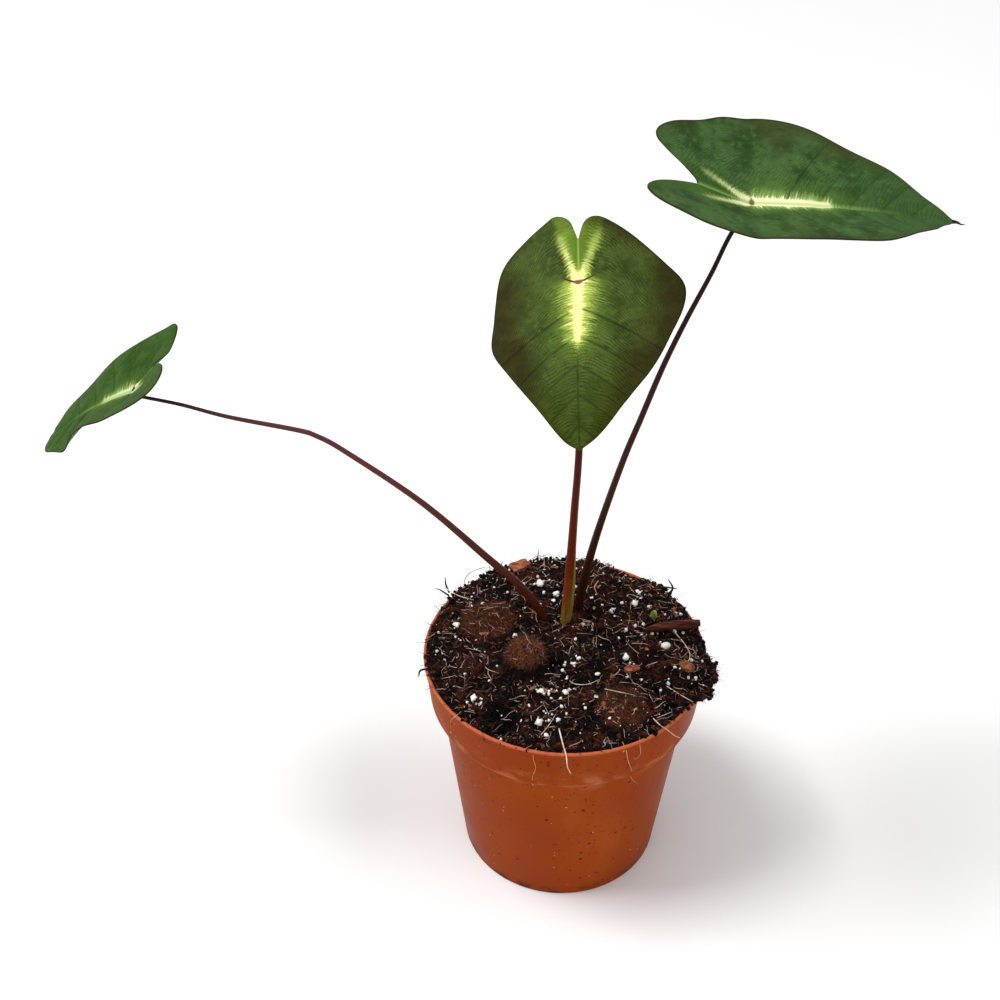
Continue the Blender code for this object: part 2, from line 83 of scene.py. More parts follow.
camera = bpy.data.objects.new("camera", bpy.data.cameras.new("camera"))
camera.location = [value * MM for value in CAMERA_PLACE]
camera.rotation_euler = (math.pi / 2 - CAMERA_DOWN, 0.0, 0.0)
camera.data.lens = CAMERA_LENS
camera.data.sensor_width = 36.0
bpy.context.scene.collection.objects.link(camera)
bpy.context.scene.camera = camera


def paint(red, green, blue):
    """A colour as a painter mixes it, 0 to 255 on the screen, as the linear colour that a shader takes."""
    values = []
    for channel in (red, green, blue):
        channel /= 255.0
        values.append(channel / 12.92 if channel <= 0.04045 else ((channel + 0.055) / 1.055) ** 2.4)
    return (*values, 1.0)


class Finish:
    """A surface finish put together from nodes, from the coordinates up to one shader."""

    def __init__(self, name, roughness, specular=0.5):
        self.material = bpy.data.materials.new(name)
        self.material.use_nodes = True
        self.tree = self.material.node_tree
        self.shader = self.tree.nodes["Principled BSDF"]
        self.shader.inputs["Roughness"].default_value = roughness
        self.shader.inputs["Specular IOR Level"].default_value = specular
        self.place = self.tree.nodes.new("ShaderNodeTexCoord").outputs["Object"]

    def set(self, socket, value):
        if isinstance(value, bpy.types.NodeSocket):
            self.tree.links.new(value, socket)
        else:
            socket.default_value = value

    def node(self, kind, inputs, **settings):
        made = self.tree.nodes.new("ShaderNode" + kind)
        for key, value in settings.items():
            setattr(made, key, value)
        for key, value in inputs.items():
            self.set(made.inputs[key], value)
        return made

    def field(self, name):
        """A value stored on the mesh's own points."""
        return self.node("Attribute", {}, attribute_name=name).outputs["Fac"]

    def vector(self, x, y, z=0.0):
        return self.node("CombineXYZ", {"X": x, "Y": y, "Z": z}).outputs["Vector"]

    def stretched(self, x, y, z):
        """Object coordinates multiplied along each axis."""
        return self.node("Mapping", {"Vector": self.place, "Scale": (x, y, z)}).outputs["Vector"]

    def grain(self, scale, detail=3.0, at=None, distortion=0.0):
        inputs = {"Vector": at or self.place, "Scale": scale, "Detail": detail, "Distortion": distortion}
        return self.node("TexNoise", inputs).outputs["Fac"]

    def cells(self, scale, at=None, feature="F1", output="Distance"):
        inputs = {"Vector": at or self.place, "Scale": scale}
        return self.node("TexVoronoi", inputs, feature=feature).outputs[output]

    def calc(self, operation, a, b=0.0):
        return self.node("Math", {0: a, 1: b}, operation=operation).outputs["Value"]

    def plus(self, a, b):
        return self.calc("ADD", a, b)

    def minus(self, a, b):
        return self.calc("SUBTRACT", a, b)

    def times(self, a, b):
        return self.calc("MULTIPLY", a, b)

    def most(self, a, b):
        return self.calc("MAXIMUM", a, b)

    def size(self, a):
        return self.calc("ABSOLUTE", a)

    def off_whole(self, a):
        """How far a value is from the nearest whole number."""
        return self.calc("PINGPONG", a, 0.5)

    def between(self, value, low, high, start=0.0, end=1.0):
        """A smooth step of a value from low to high."""
        inputs = {"Value": value, "From Min": low, "From Max": high, "To Min": start, "To Max": end}
        return self.node("MapRange", inputs, interpolation_type="SMOOTHSTEP").outputs["Result"]

    def blend(self, amount, first, second, mode="MIX"):
        inputs = {0: amount, 6: first, 7: second}
        return self.node("Mix", inputs, data_type="RGBA", blend_type=mode).outputs[2]

    def ramp(self, value, stops):
        made = self.node("ValToRGB", {"Fac": value})
        made.color_ramp.elements[0].position = stops[0][0]
        made.color_ramp.elements[0].color = stops[0][1]
        made.color_ramp.elements[1].position = stops[-1][0]
        made.color_ramp.elements[1].color = stops[-1][1]
        for position, colour in stops[1:-1]:
            made.color_ramp.elements.new(position).color = colour
        return made.outputs["Color"]

    def done(self, colour, relief=None, depth=0.0003, strength=0.6, roughness=None):
        """Joins the colour, the relief and a varying roughness to the shader."""
        self.set(self.shader.inputs["Base Color"], colour)
        if roughness is not None:
            self.set(self.shader.inputs["Roughness"], roughness)
        if relief is not None:
            bump = self.node("Bump", {"Height": relief, "Distance": depth, "Strength": strength})
            self.set(self.shader.inputs["Normal"], bump.outputs["Normal"])
        return self.material


floor_mesh = bmesh.new()
bmesh.ops.create_grid(floor_mesh, x_segments=1, y_segments=1, size=FLOOR_SIZE / 2)
floor_data = bpy.data.meshes.new("floor")
floor_mesh.to_mesh(floor_data)
floor_mesh.free()
floor = bpy.data.objects.new("floor", floor_data)
bpy.context.scene.collection.objects.link(floor)
floor_finish = Finish("pale_floor", 0.9, 0.2)
floor_shade = floor_finish.ramp(floor_finish.grain(3.0), [(0.3, (0.95, 0.95, 0.95, 1.0)),
                                                         (0.7, (0.97, 0.97, 0.97, 1.0))])
floor.data.materials.append(floor_finish.done(floor_shade))

# ---------------------------------------------------------------- pot
# One injection moulding in thin orange-brown polypropylene: a flat lip, a stiff band under it, a tapered
# wall and a raised floor with eight drain holes. It is scuffed and dusty from the nursery.

pot_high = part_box("pot")[1]
RIM = pot_high.x / MM
POT_HEIGHT = pot_high.z / MM
WALL = 1.2
BAND_FOOT = RIM - 2.5
BAND_LEVEL = POT_HEIGHT - 22.0
WALL_TOP = RIM - 7.0
STEP_DROP = 2.4         # of the fold from the band to the wall
FOOT = 43.5
FLOOR_LIFT = 1.0
BOSS = 12.0
DRAINS = 8
DRAIN_CIRCLE = 30.0
DRAIN_RADIUS = 3.8
POT_TURNS = 160


def finish_piece(name, bm, materials, stands_for=(), smooth=40.0):
    """Turns a bmesh in millimetres into a named piece in metres that stands for its CAD nodes."""
    bmesh.ops.scale(bm, vec=(MM, MM, MM), verts=bm.verts)
    mesh = bpy.data.meshes.new(name)
    bm.to_mesh(mesh)
    bm.free()
    mesh.shade_smooth()
    mesh.set_sharp_from_angle(angle=math.radians(smooth))
    piece = bpy.data.objects.new(name, mesh)
    bpy.context.scene.collection.objects.link(piece)
    for material in materials:
        mesh.materials.append(material)
    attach(piece, "root")
    if stands_for:
        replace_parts(piece, *stands_for)
    return piece


def rounded(points, radius, steps=3):
    """A profile with each inner corner replaced by a short curve."""
    line = [Vector((*point, 0.0)) for point in points]
    found = [line[0]]
    for before, corner, after in zip(line, line[1:], line[2:]):
        cut = min(radius, (corner - before).length * 0.45, (after - corner).length * 0.45)
        start = corner + (before - corner).normalized() * cut
        end = corner + (after - corner).normalized() * cut
        for i in range(steps + 1):
            t = i / steps
            found.append(start * (1 - t) ** 2 + corner * 2 * t * (1 - t) + end * t * t)
    found.append(line[-1])
    return [(point.x, point.y) for point in found]


pot_profile = rounded([
    (0.0, 0.0),
    (BOSS, 0.0),
    (BOSS + 0.6, FLOOR_LIFT),
    (FOOT - 5.0, FLOOR_LIFT),
    (FOOT - 4.4, 0.0),
    (FOOT, 0.0),
    (WALL_TOP, BAND_LEVEL - STEP_DROP),
    (WALL_TOP + 0.7, BAND_LEVEL - 1.0),
    (BAND_FOOT - 0.5, BAND_LEVEL - 0.3),
    (BAND_FOOT + 0.1, BAND_LEVEL + 1.2),
    (RIM - 0.6, POT_HEIGHT - 2.6),
    (RIM, POT_HEIGHT - 2.0),
    (RIM, POT_HEIGHT),
    (RIM - WALL, POT_HEIGHT),
    (RIM - WALL - 0.2, POT_HEIGHT - 2.0),
    (BAND_FOOT - WALL, BAND_LEVEL + 1.2),
    (WALL_TOP - WALL, BAND_LEVEL - STEP_DROP),
    (FOOT - WALL, FLOOR_LIFT + WALL),
    (0.0, FLOOR_LIFT + WALL),
], 0.7)
pot_bm = bmesh.new()
pot_verts = [pot_bm.verts.new((radius, 0.0, level)) for radius, level in pot_profile]
pot_edges = [pot_bm.edges.new(pair) for pair in zip(pot_verts, pot_verts[1:])]
bmesh.ops.spin(pot_bm, geom=pot_verts + pot_edges, cent=(0, 0, 0), axis=(0, 0, 1), angle=math.tau,
               steps=POT_TURNS, use_merge=True)
bmesh.ops.remove_doubles(pot_bm, verts=pot_bm.verts, dist=0.001)
bmesh.ops.recalc_face_normals(pot_bm, faces=pot_bm.faces)

pot_finish = Finish("pot_plastic", 0.48, 0.025)
pot_height = pot_finish.node("SeparateXYZ", {"Vector": pot_finish.place}).outputs["Z"]
pot_clouds = pot_finish.grain(26.0, 4.0)
pot_flow = pot_finish.grain(60.0, 3.0, pot_finish.stretched(1.0, 1.0, 0.12))
pot_colour = pot_finish.ramp(pot_clouds, [(0.30, paint(139, 51, 1)), (0.50, paint(146, 57, 3)),
                                          (0.72, paint(155, 66, 9))])
pot_colour = pot_finish.blend(pot_finish.between(pot_flow, 0.52, 0.75, 0.0, 0.35), pot_colour,
                              paint(163, 80, 26))
# rubbed, chalky patches along the fold under the band, partly wear and partly a painted highlight on the
# fold, and worn patches at the lip
off_fold = pot_finish.size(pot_finish.minus(pot_height, BAND_LEVEL * MM))
fold_rub_and_highlight = pot_finish.between(off_fold, 0.0, 0.011, 1.0, 0.0)
lip_rub = pot_finish.between(pot_height, (POT_HEIGHT - 1.6) * MM, (POT_HEIGHT - 0.3) * MM)
scuffs = pot_finish.grain(95.0, 7.0, pot_finish.stretched(1.0, 1.0, 1.7), 0.25)
# painted highlight and wear: pale patches along the fold stand for both the scuffs and the light the fold
# catches
rub_and_highlight = pot_finish.times(fold_rub_and_highlight, pot_finish.between(scuffs, 0.45, 0.72))
pot_colour = pot_finish.blend(pot_finish.times(rub_and_highlight, 0.62), pot_colour, paint(196, 122, 84))
pot_colour = pot_finish.blend(pot_finish.times(lip_rub, 0.55), pot_colour, paint(224, 122, 88))
# specks of dried mix, pale dust and damp grime round the foot


def specks(scale, radius, share, patches):
    """Scattered round specks: a share of the cells of a pattern, thicker in some patches."""
    cell_colour = pot_finish.cells(scale, output="Color")
    cell = pot_finish.node("SeparateColor", {"Color": cell_colour}).outputs["Red"]
    chosen = pot_finish.between(cell, 1.0 - share, 1.0 - share + 0.02)
    patch = pot_finish.between(pot_finish.grain(patches, 2.0), 0.38, 0.56)
    dot = pot_finish.between(pot_finish.cells(scale), 0.6 * radius, radius, 1.0, 0.0)
    return pot_finish.times(dot, pot_finish.times(chosen, patch))


dark_specks = pot_finish.most(specks(260.0, 0.26, 0.24, 30.0), specks(620.0, 0.3, 0.16, 22.0))
pale_specks = pot_finish.most(specks(230.0, 0.14, 0.05, 21.0), specks(500.0, 0.24, 0.05, 27.0))
pot_colour = pot_finish.blend(pot_finish.times(dark_specks, 0.85), pot_colour, paint(70, 14, 4))
pot_colour = pot_finish.blend(pot_finish.times(pale_specks, 0.7), pot_colour, paint(232, 178, 130))
foot_dirt = pot_finish.times(pot_finish.between(pot_height, 0.0008, 0.0060, 1.0, 0.0),
                             pot_finish.between(pot_finish.grain(190.0, 6.0), 0.46, 0.58))
pot_colour = pot_finish.blend(pot_finish.times(foot_dirt, 0.8), pot_colour, paint(52, 24, 12))
pot_skin = pot_finish.plus(pot_finish.grain(900.0, 2.0), pot_finish.times(rub_and_highlight, 0.8))
pot_material = pot_finish.done(pot_colour, pot_skin, 0.0002, 0.25,
                               pot_finish.between(pot_clouds, 0.3, 0.7, 0.34, 0.50))
pot = finish_piece("pot_moulding", pot_bm, [pot_material], ["pot"], 50.0)

drain_bm = bmesh.new()
for hole in range(DRAINS):
    turn = math.tau * (hole + 0.5) / DRAINS
    made = bmesh.ops.create_cone(drain_bm, cap_ends=True, segments=32, radius1=DRAIN_RADIUS * MM,
                                 radius2=DRAIN_RADIUS * MM, depth=6 * WALL * MM)
    bmesh.ops.translate(drain_bm, vec=(DRAIN_CIRCLE * MM * math.cos(turn),
                                       DRAIN_CIRCLE * MM * math.sin(turn), WALL * MM), verts=made["verts"])
drain_mesh = bpy.data.meshes.new("drain_cutter")
drain_bm.to_mesh(drain_mesh)
drain_bm.free()
drain_cutter = bpy.data.objects.new("drain_cutter", drain_mesh)
bpy.context.scene.collection.objects.link(drain_cutter)
drains = pot.modifiers.new("drains", "BOOLEAN")
drains.operation = "DIFFERENCE"
drains.solver = "EXACT"
drains.object = drain_cutter
bpy.context.view_layer.update()
drained = bpy.data.meshes.new_from_object(pot.evaluated_get(bpy.context.evaluated_depsgraph_get()))
pot.modifiers.clear()
pot.data = drained
bpy.data.objects.remove(drain_cutter)

# ---------------------------------------------------------------- potting mix
# A root ball of damp peat and coir with bark and perlite, pressed into the pot and heaped by hand. It
# stands a little over the lip, hangs over it on the right, and is open in hollows between clumps,
# which are darkened with painted shade.

MIX_EDGE = POT_HEIGHT
MIX_HEAP = 6.4
MIX_TILT = 1.5
GAP = 0.3               # between the mix and the pot
MIX_WALL = RIM - WALL - GAP
SPILL = 6.0
SPILL_TURN = math.radians(-17.0)
SPILL_SPREAD = math.radians(27.0)
SPILL_CORE = 0.3        # share of the spread over which the edge stays at the wall
# clumps and hollows: x, y, radius, height
COIR_CLUMPS = ((-17.0, -12.5, 9.6, 9.5), (-33.0, 12.0, 14.0, 3.4), (22.0, -38.0, 12.0, 3.0))
OTHER_LUMPS = ((46.0, -16.0, 11.0, 2.2), (10.0, 44.0, 10.0, 2.0), (-20.0, 40.0, 12.0, 1.8),
               (-44.0, -18.0, 9.0, 1.6), (2.0, -41.0, 8.0, 1.4), (36.0, 26.0, 11.0, 1.6))
HOLLOWS = ((-26.0, -42.0, 8.5, -9.5), (-27.0, -3.0, 4.5, -4.6), (-46.0, 16.0, 4.0, -2.4),
           (-4.5, -15.0, 4.5, -4.6), (4.0, -27.0, 6.0, -3.0), (20.0, -2.0, 8.0, -2.6),
           (12.0, 14.0, 5.0, -3.0), (36.0, -26.0, 5.5, -3.4), (-30.0, -22.0, 6.0, -2.4),
           (-12.0, -50.0, 5.0, -2.4), (33.0, 50.0, 9.0, -3.4), (-20.0, 56.0, 6.0, -2.0))
BIG_X, BIG_Y, BIG_RADIUS, BIG_HEIGHT = COIR_CLUMPS[0]
LUMP_STEEPNESS = 1.5
RING_WIDTH = 0.2        # of the ring of painted shade round a coir clump, as a share of its radius
ROUGHNESS_SCALE = 0.16
ROUGHNESS_HEIGHT = 1.1
MIX_GRID = 250


def smoothstep(value):
    value = min(1.0, max(0.0, value))
    return value * value * (3.0 - 2.0 * value)


def spill_at(turn):
    """How far the mix stands out over the lip in a direction, from 0 to 1."""
    away = (turn - SPILL_TURN + math.pi) % math.tau - math.pi
    return 1.0 - smoothstep(abs(away) / SPILL_SPREAD)


def mix_radius(turn):
    ripple = 1.0 + 0.20 * math.sin(9.0 * turn) + 0.12 * math.sin(23.0 * turn)
    ripple += 0.10 * math.sin(41.0 * turn)
    return MIX_WALL + SPILL * ripple * smoothstep((spill_at(turn) - SPILL_CORE) / (1.0 - SPILL_CORE))


def mound(x, y, lumps):
    """Height of rounded heaps and pits with fairly steep sides."""
    return sum(height * math.exp(-LUMP_STEEPNESS * (((x - a) ** 2 + (y - b) ** 2) / radius ** 2) ** 1.5)
               for a, b, radius, height in lumps)


def shade_ring_near(x, y):
    """How near a place is to the ring of painted shade round a coir clump, most for the tallest."""
    return max(height / BIG_HEIGHT
               * math.exp(-((math.hypot(x - a, y - b) / radius - 1.0) / RING_WIDTH) ** 2)
               for a, b, radius, height in COIR_CLUMPS)


def mix_level(x, y):
    """Level of the heaped surface, without its crumbs."""
    reach = min(1.0, math.hypot(x, y) / RIM)
    level = MIX_EDGE + MIX_HEAP * (1.0 - reach ** 3) + MIX_TILT * y / RIM
    level += mound(x, y, COIR_CLUMPS + OTHER_LUMPS + HOLLOWS)
    calm = 1.0 - 0.7 * smoothstep((reach - 0.8) / 0.2)
    level += ROUGHNESS_HEIGHT * calm * noise.noise((x * ROUGHNESS_SCALE, y * ROUGHNESS_SCALE, 3.0))
    if math.hypot(x, y) > MIX_WALL:
        level = max(level, POT_HEIGHT + 1.0)
    return level


def mix_crumble(x, y):
    """The crumbs and gaps of the surface between the clumps."""
    shift = 1.2 * noise.noise((x * 0.3, y * 0.3, 4.0))
    coarse = abs(noise.noise((x * 0.20 + shift, y * 0.20, 8.0)))
    middle = abs(noise.noise((x * 0.5, y * 0.5 + shift, 1.0)))
    fine = noise.noise((x * 1.2, y * 1.2, 5.0))
    grit = noise.noise((x * 2.6, y * 2.6, 6.0))
    return 5.2 * min(coarse, 0.45) - 1.4 + 2.4 * middle + 0.9 * fine + 0.45 * grit


mix_bm = bmesh.new()
bmesh.ops.create_grid(mix_bm, x_segments=MIX_GRID, y_segments=MIX_GRID, size=1.0)
clump_layer = mix_bm.verts.layers.float.new("clump")
depth_layer = mix_bm.verts.layers.float.new("depth")
for vert in mix_bm.verts:
    u, v = vert.co.x, vert.co.y
    x = u * math.sqrt(1.0 - v * v / 2.0)
    y = v * math.sqrt(1.0 - u * u / 2.0)
    edge = smoothstep((1.0 - math.hypot(x, y)) / 0.03)
    reach = mix_radius(math.atan2(y, x))
    x, y = x * reach, y * reach
    clump = min(1.0, mound(x, y, [(a, b, radius, 1.15) for a, b, radius, _ in COIR_CLUMPS]))
    clump = smoothstep((clump - 0.25 + 0.3 * noise.noise((x * 0.3, y * 0.3, 2.0))) / 0.5)
    on_big = math.hypot(x - BIG_X, y - BIG_Y) < 1.25 * BIG_RADIUS
    vert[clump_layer] = clump * (1.0 if on_big else 0.8)
    crumble = mix_crumble(x, y) * (1.0 - 0.4 * clump) * edge
    # painted shade: the depth is lowered in the crumbs' low places, in the hollows and in a ring round
    # each coir clump, and the mix finish darkens low depth towards black
    vert[depth_layer] = crumble + 0.5 * mound(x, y, HOLLOWS) - 2.8 * shade_ring_near(x, y)
    vert.co = (x, y, mix_level(x, y) + crumble - 1.1 * (1.0 - edge))
border = [edge for edge in mix_bm.edges if edge.is_boundary]
inside_wall = [(MIX_WALL, POT_HEIGHT + GAP), (MIX_WALL, POT_HEIGHT - 2.0),
               (BAND_FOOT - WALL - GAP, BAND_LEVEL + 1.5),
               (WALL_TOP - WALL - GAP, BAND_LEVEL - STEP_DROP),
               (FOOT - WALL - GAP, FLOOR_LIFT + WALL + GAP)]
for radius, level in inside_wall:
    made = bmesh.ops.extrude_edge_only(mix_bm, edges=border)
    ring = [item for item in made["geom"] if isinstance(item, bmesh.types.BMVert)]
    border = [item for item in made["geom"] if isinstance(item, bmesh.types.BMEdge) and item.is_boundary]
    for vert in ring:
        turn = math.atan2(vert.co.y, vert.co.x)
        vert.co = (radius * math.cos(turn), radius * math.sin(turn), min(level, vert.co.z - 0.1))
        vert[clump_layer] = 0.0
        vert[depth_layer] = 0.0
bmesh.ops.contextual_create(mix_bm, geom=border)
bmesh.ops.recalc_face_normals(mix_bm, faces=mix_bm.faces)

mix_finish = Finish("potting_mix", 0.9, 0.15)
mix_crumbs = mix_finish.grain(620.0, 5.0)
mix_tone = mix_finish.grain(120.0, 6.0, None, 0.4)
mix_colour = mix_finish.ramp(mix_tone, [(0.42, paint(4, 2, 2)), (0.51, paint(46, 17, 11)),
                                        (0.60, paint(88, 36, 24)), (0.74, paint(122, 62, 42))])
# painted shade: where the crumb bump is low, in the gaps between crumbs, the colour is darkened towards
# black
mix_colour = mix_finish.blend(mix_finish.between(mix_crumbs, 0.40, 0.62, 0.75, 0.0), mix_colour,
                              paint(10, 6, 4))
in_shade = mix_finish.between(mix_finish.field("depth"), -1.3, 1.1, 0.97, 0.0)
mix_colour = mix_finish.blend(in_shade, mix_colour, paint(4, 2, 2))
coir_threads = mix_finish.grain(900.0, 6.0, None, 2.5)
coir_colour = mix_finish.ramp(coir_threads, [(0.36, paint(20, 8, 4)), (0.50, paint(86, 41, 22)),
                                             (0.64, paint(166, 98, 48))])
mix_colour = mix_finish.blend(mix_finish.times(mix_finish.field("clump"), 0.85), mix_colour,
                              coir_colour)
mix_material = mix_finish.done(mix_colour, mix_finish.plus(mix_crumbs, coir_threads), 0.0010, 0.9)
finish_piece("mix_root_ball", mix_bm, [mix_material], ["potting_mix"], 180.0)

# ---------------------------------------------------------------- loose crumbs, shreds and threads
# What gives the mix its texture: round peat crumbs, flat bark shreds and fine coir threads and root
# hairs, thrown on the surface as the pot was filled. Each kind is many small solids in one mesh.

CRUMBS = 2600
CLODS = 900             # on the overhang, for the first half, and along the lip
SHREDS = 420
COIR_THREADS = 4600
ROOT_HAIRS = 800
LOOSE_ENDS = 420        # over the lip, the first ones at the overhang
SPILL_ENDS = 300


def template(name, make):
    """One small closed shape, made by operators in a bmesh, as its mesh and its points."""
    bm = bmesh.new()
    make(bm)
    bmesh.ops.recalc_face_normals(bm, faces=bm.faces)
    points = np.array([vert.co[:] for vert in bm.verts])
    mesh = bpy.data.meshes.new(name)
    bm.to_mesh(mesh)
    bm.free()
    return mesh, points


def thrown(name, shape, placed, material, smooth=180.0):
    """One mesh of many copies of a small shape: each copy comes as its points and its tint."""
    one = bpy.data.objects.new(name + "_one", shape[0])
    bpy.context.scene.collection.objects.link(one)
    copies = one.modifiers.new("copies", "ARRAY")
    copies.use_relative_offset = False
    copies.count = len(placed)
    bpy.context.view_layer.update()
    mesh = bpy.data.meshes.new_from_object(one.evaluated_get(bpy.context.evaluated_depsgraph_get()))
    bpy.data.objects.remove(one)
    mesh.vertices.foreach_set("co", np.concatenate([points for points, tint in placed]).ravel() * MM)
    tints = mesh.attributes.new("tint", "FLOAT", "POINT")
    tints.data.foreach_set("value", np.repeat([tint for points, tint in placed], len(shape[1])))
    mesh.update()
    mesh.shade_smooth()
    mesh.set_sharp_from_angle(angle=math.radians(smooth))
    mesh.materials.append(material)
    piece = bpy.data.objects.new(name, mesh)
    bpy.context.scene.collection.objects.link(piece)
    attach(piece, "root")
    return piece


def any_turn(rng):
    """A random rotation as a 3 by 3 matrix."""
    found, _ = np.linalg.qr(rng.normal(size=(3, 3)))
    return found if np.linalg.det(found) > 0 else -found


def any_place(rng, inner=0.0, outer=1.0):
    """A random place on the surface, evenly spread, as x, y and level."""
    turn = rng.uniform(0.0, math.tau)
    reach = mix_radius(turn) * math.sqrt(rng.uniform(inner * inner, outer * outer))
    x, y = reach * math.cos(turn), reach * math.sin(turn)
    return x, y, mix_level(x, y)


def tinted(name, stops, roughness, specular, scale, depth):
    """A finish for thrown pieces: a colour by tint, with grain and its relief."""
    made = Finish(name, roughness, specular)
    mottle = made.grain(scale, 4.0)
    value = made.plus(made.field("tint"), made.times(made.minus(mottle, 0.5), 0.35))
    return made.done(made.ramp(value, stops), mottle, depth, 0.8)


crumb_shape = template("crumb", lambda bm: bmesh.ops.create_icosphere(bm, subdivisions=1, radius=1.0))
crumb_material = tinted("peat_crumbs", [(0.0, paint(4, 2, 2)), (0.40, paint(14, 7, 5)),
                                        (0.62, paint(60, 27, 16)), (0.85, paint(104, 50, 31)),
                                        (1.0, paint(144, 82, 54))], 0.9, 0.15, 900.0, 0.0005)
rng = np.random.default_rng(11)
crumbs = []
for i in range(CRUMBS):
    x, y, level = any_place(rng, 0.0, 1.0)
    taken = mound(x, y, COIR_CLUMPS) > 1.2 or mound(x, y, HOLLOWS) < -2.0 or shade_ring_near(x, y) > 0.5
    if taken or rng.random() > 0.45 + 0.5 * noise.noise((x * 0.09, y * 0.09, 7.0)) + 0.2:
        continue
    size = 0.22 + 0.75 * rng.random() ** 3.0
    stretch = np.diag(size * rng.uniform(0.6, 1.35, 3))
    bumps = 1.0 + 0.22 * rng.normal(size=(len(crumb_shape[1]), 1))
    turned = (crumb_shape[1] * bumps) @ stretch @ any_turn(rng)
    sunk = rng.uniform(-0.5, 0.9) * size + mix_crumble(x, y) * 0.5
    crumbs.append((turned + (x, y, level + sunk), rng.random() ** 2.0 * 0.88))
for i in range(CLODS):
    turn = SPILL_TURN + rng.normal(0.0, 0.33) if i < CLODS / 2 else rng.uniform(0.0, math.tau)
    reach = mix_radius(turn) + rng.normal(-0.7, 0.8)
    reach = reach if spill_at(turn) > 0.2 else min(reach, RIM - 0.6)
    size = 0.3 + 1.05 * rng.random() ** 2
    turned = (crumb_shape[1] * (1.0 + 0.25 * rng.normal(size=(len(crumb_shape[1]), 1)))
              @ np.diag(size * rng.uniform(0.6, 1.3, 3)) @ any_turn(rng))
    hang = 3.2 * spill_at(turn) * rng.random() ** 1.5
    level = mix_level(0.97 * reach * math.cos(turn), 0.97 * reach * math.sin(turn)) - hang
    place = (reach * math.cos(turn), reach * math.sin(turn), level)
    crumbs.append((turned + place, rng.random() ** 2 * 0.8))
thrown("peat_crumbs", crumb_shape, crumbs, crumb_material, 30.0)


def make_shred(bm):
    """A flat splinter of bark, thicker along its middle."""
    bmesh.ops.create_cone(bm, cap_ends=True, segments=5, radius1=1.0, radius2=0.75, depth=0.35)


shred_shape = template("shred", make_shred)
shred_material = tinted("bark_shreds", [(0.0, paint(20, 11, 7)), (0.4, paint(58, 28, 16)),
                                        (0.75, paint(116, 60, 36)), (1.0, paint(170, 118, 80))],
                        0.8, 0.35, 700.0, 0.0003)
shreds = []
for i in range(SHREDS):
    x, y, level = any_place(rng, 0.0, 0.98)
    length = 0.7 + 2.0 * rng.random() ** 2
    stretch = np.diag((length, length * rng.uniform(0.18, 0.5), rng.uniform(0.4, 0.9)))
    tip_up = rng.normal(0.0, 0.4)
    lean = np.array([[math.cos(tip_up), 0, math.sin(tip_up)], [0, 1, 0],
                     [-math.sin(tip_up), 0, math.cos(tip_up)]])
    turn = rng.uniform(0.0, math.tau)
    yaw = np.array([[math.cos(turn), math.sin(turn), 0], [-math.sin(turn), math.cos(turn), 0], [0, 0, 1]])
    placed = shred_shape[1] @ stretch @ lean @ yaw
    shreds.append((placed + (x, y, level + 0.35 + mix_crumble(x, y) * 0.5), rng.random() ** 1.5))
thrown("bark_shreds", shred_shape, shreds, shred_material, 30.0)

THREAD_RINGS = 6


def make_thread(bm):
    """A three-sided straw of unit radius and unit length, in even steps."""
    bmesh.ops.create_cone(bm, cap_ends=True, segments=3, radius1=1.0, radius2=1.0, depth=1.0)
    bmesh.ops.translate(bm, vec=(0, 0, 0.5), verts=bm.verts)
    long_edges = [edge for edge in bm.edges if abs(edge.verts[0].co.z - edge.verts[1].co.z) > 0.5]
    bmesh.ops.subdivide_edges(bm, edges=long_edges, cuts=THREAD_RINGS - 1)


thread_shape = template("thread", make_thread)


def bent_thread(start, heading, length, radius, rng, curl, rise=0.0, taper=0.6):
    """The straw laid along an arc that starts at a place and curls as it goes."""
    points = thread_shape[1]
    heading = Vector(heading).normalized()
    side = heading.cross(Vector((0, 0, 1))).normalized()
    up = side.cross(heading)
    bend_side, bend_up = rng.normal(0.0, curl), rng.normal(0.0, curl * 0.5) + rise
    found = np.empty_like(points)
    for k, (x, y, along) in enumerate(points):
        travel = along * length
        centre = Vector(start) + heading * travel
        centre += side * (bend_side * length * (along ** 2 + 0.25 * math.sin(5.0 * along)))
        centre += up * (bend_up * length * along ** 2)
        thin = radius * (1.0 - taper * along)
        found[k] = centre - side * (x * thin) + up * (y * thin)
    return found


thread_material = tinted("coir_threads", [(0.0, paint(9, 6, 5)), (0.35, paint(46, 22, 14)),
                                          (0.62, paint(112, 56, 32)), (0.80, paint(150, 92, 62)),
                                          (0.88, paint(206, 170, 152)), (1.0, paint(244, 228, 218))],
                         0.6, 0.3, 400.0, 0.0001)
threads = []
for i in range(COIR_THREADS):
    x, y, level = any_place(rng, 0.0, 1.0)
    if shade_ring_near(x, y) > 0.4 and rng.random() < 0.75:
        continue
    turn = rng.uniform(0.0, math.tau)
    heading = (math.cos(turn), math.sin(turn), rng.normal(0.05, 0.28))
    length = 1.5 + 5.0 * rng.random() ** 1.4
    place = (x, y, level + rng.uniform(0.1, 0.9) + 0.8 * mix_crumble(x, y))
    threads.append((bent_thread(place, heading, length, rng.uniform(0.08, 0.2), rng, 0.5, -0.08),
                    rng.random() ** 1.7 * 0.80))
thrown("coir_threads", thread_shape, threads, thread_material)
threads = []
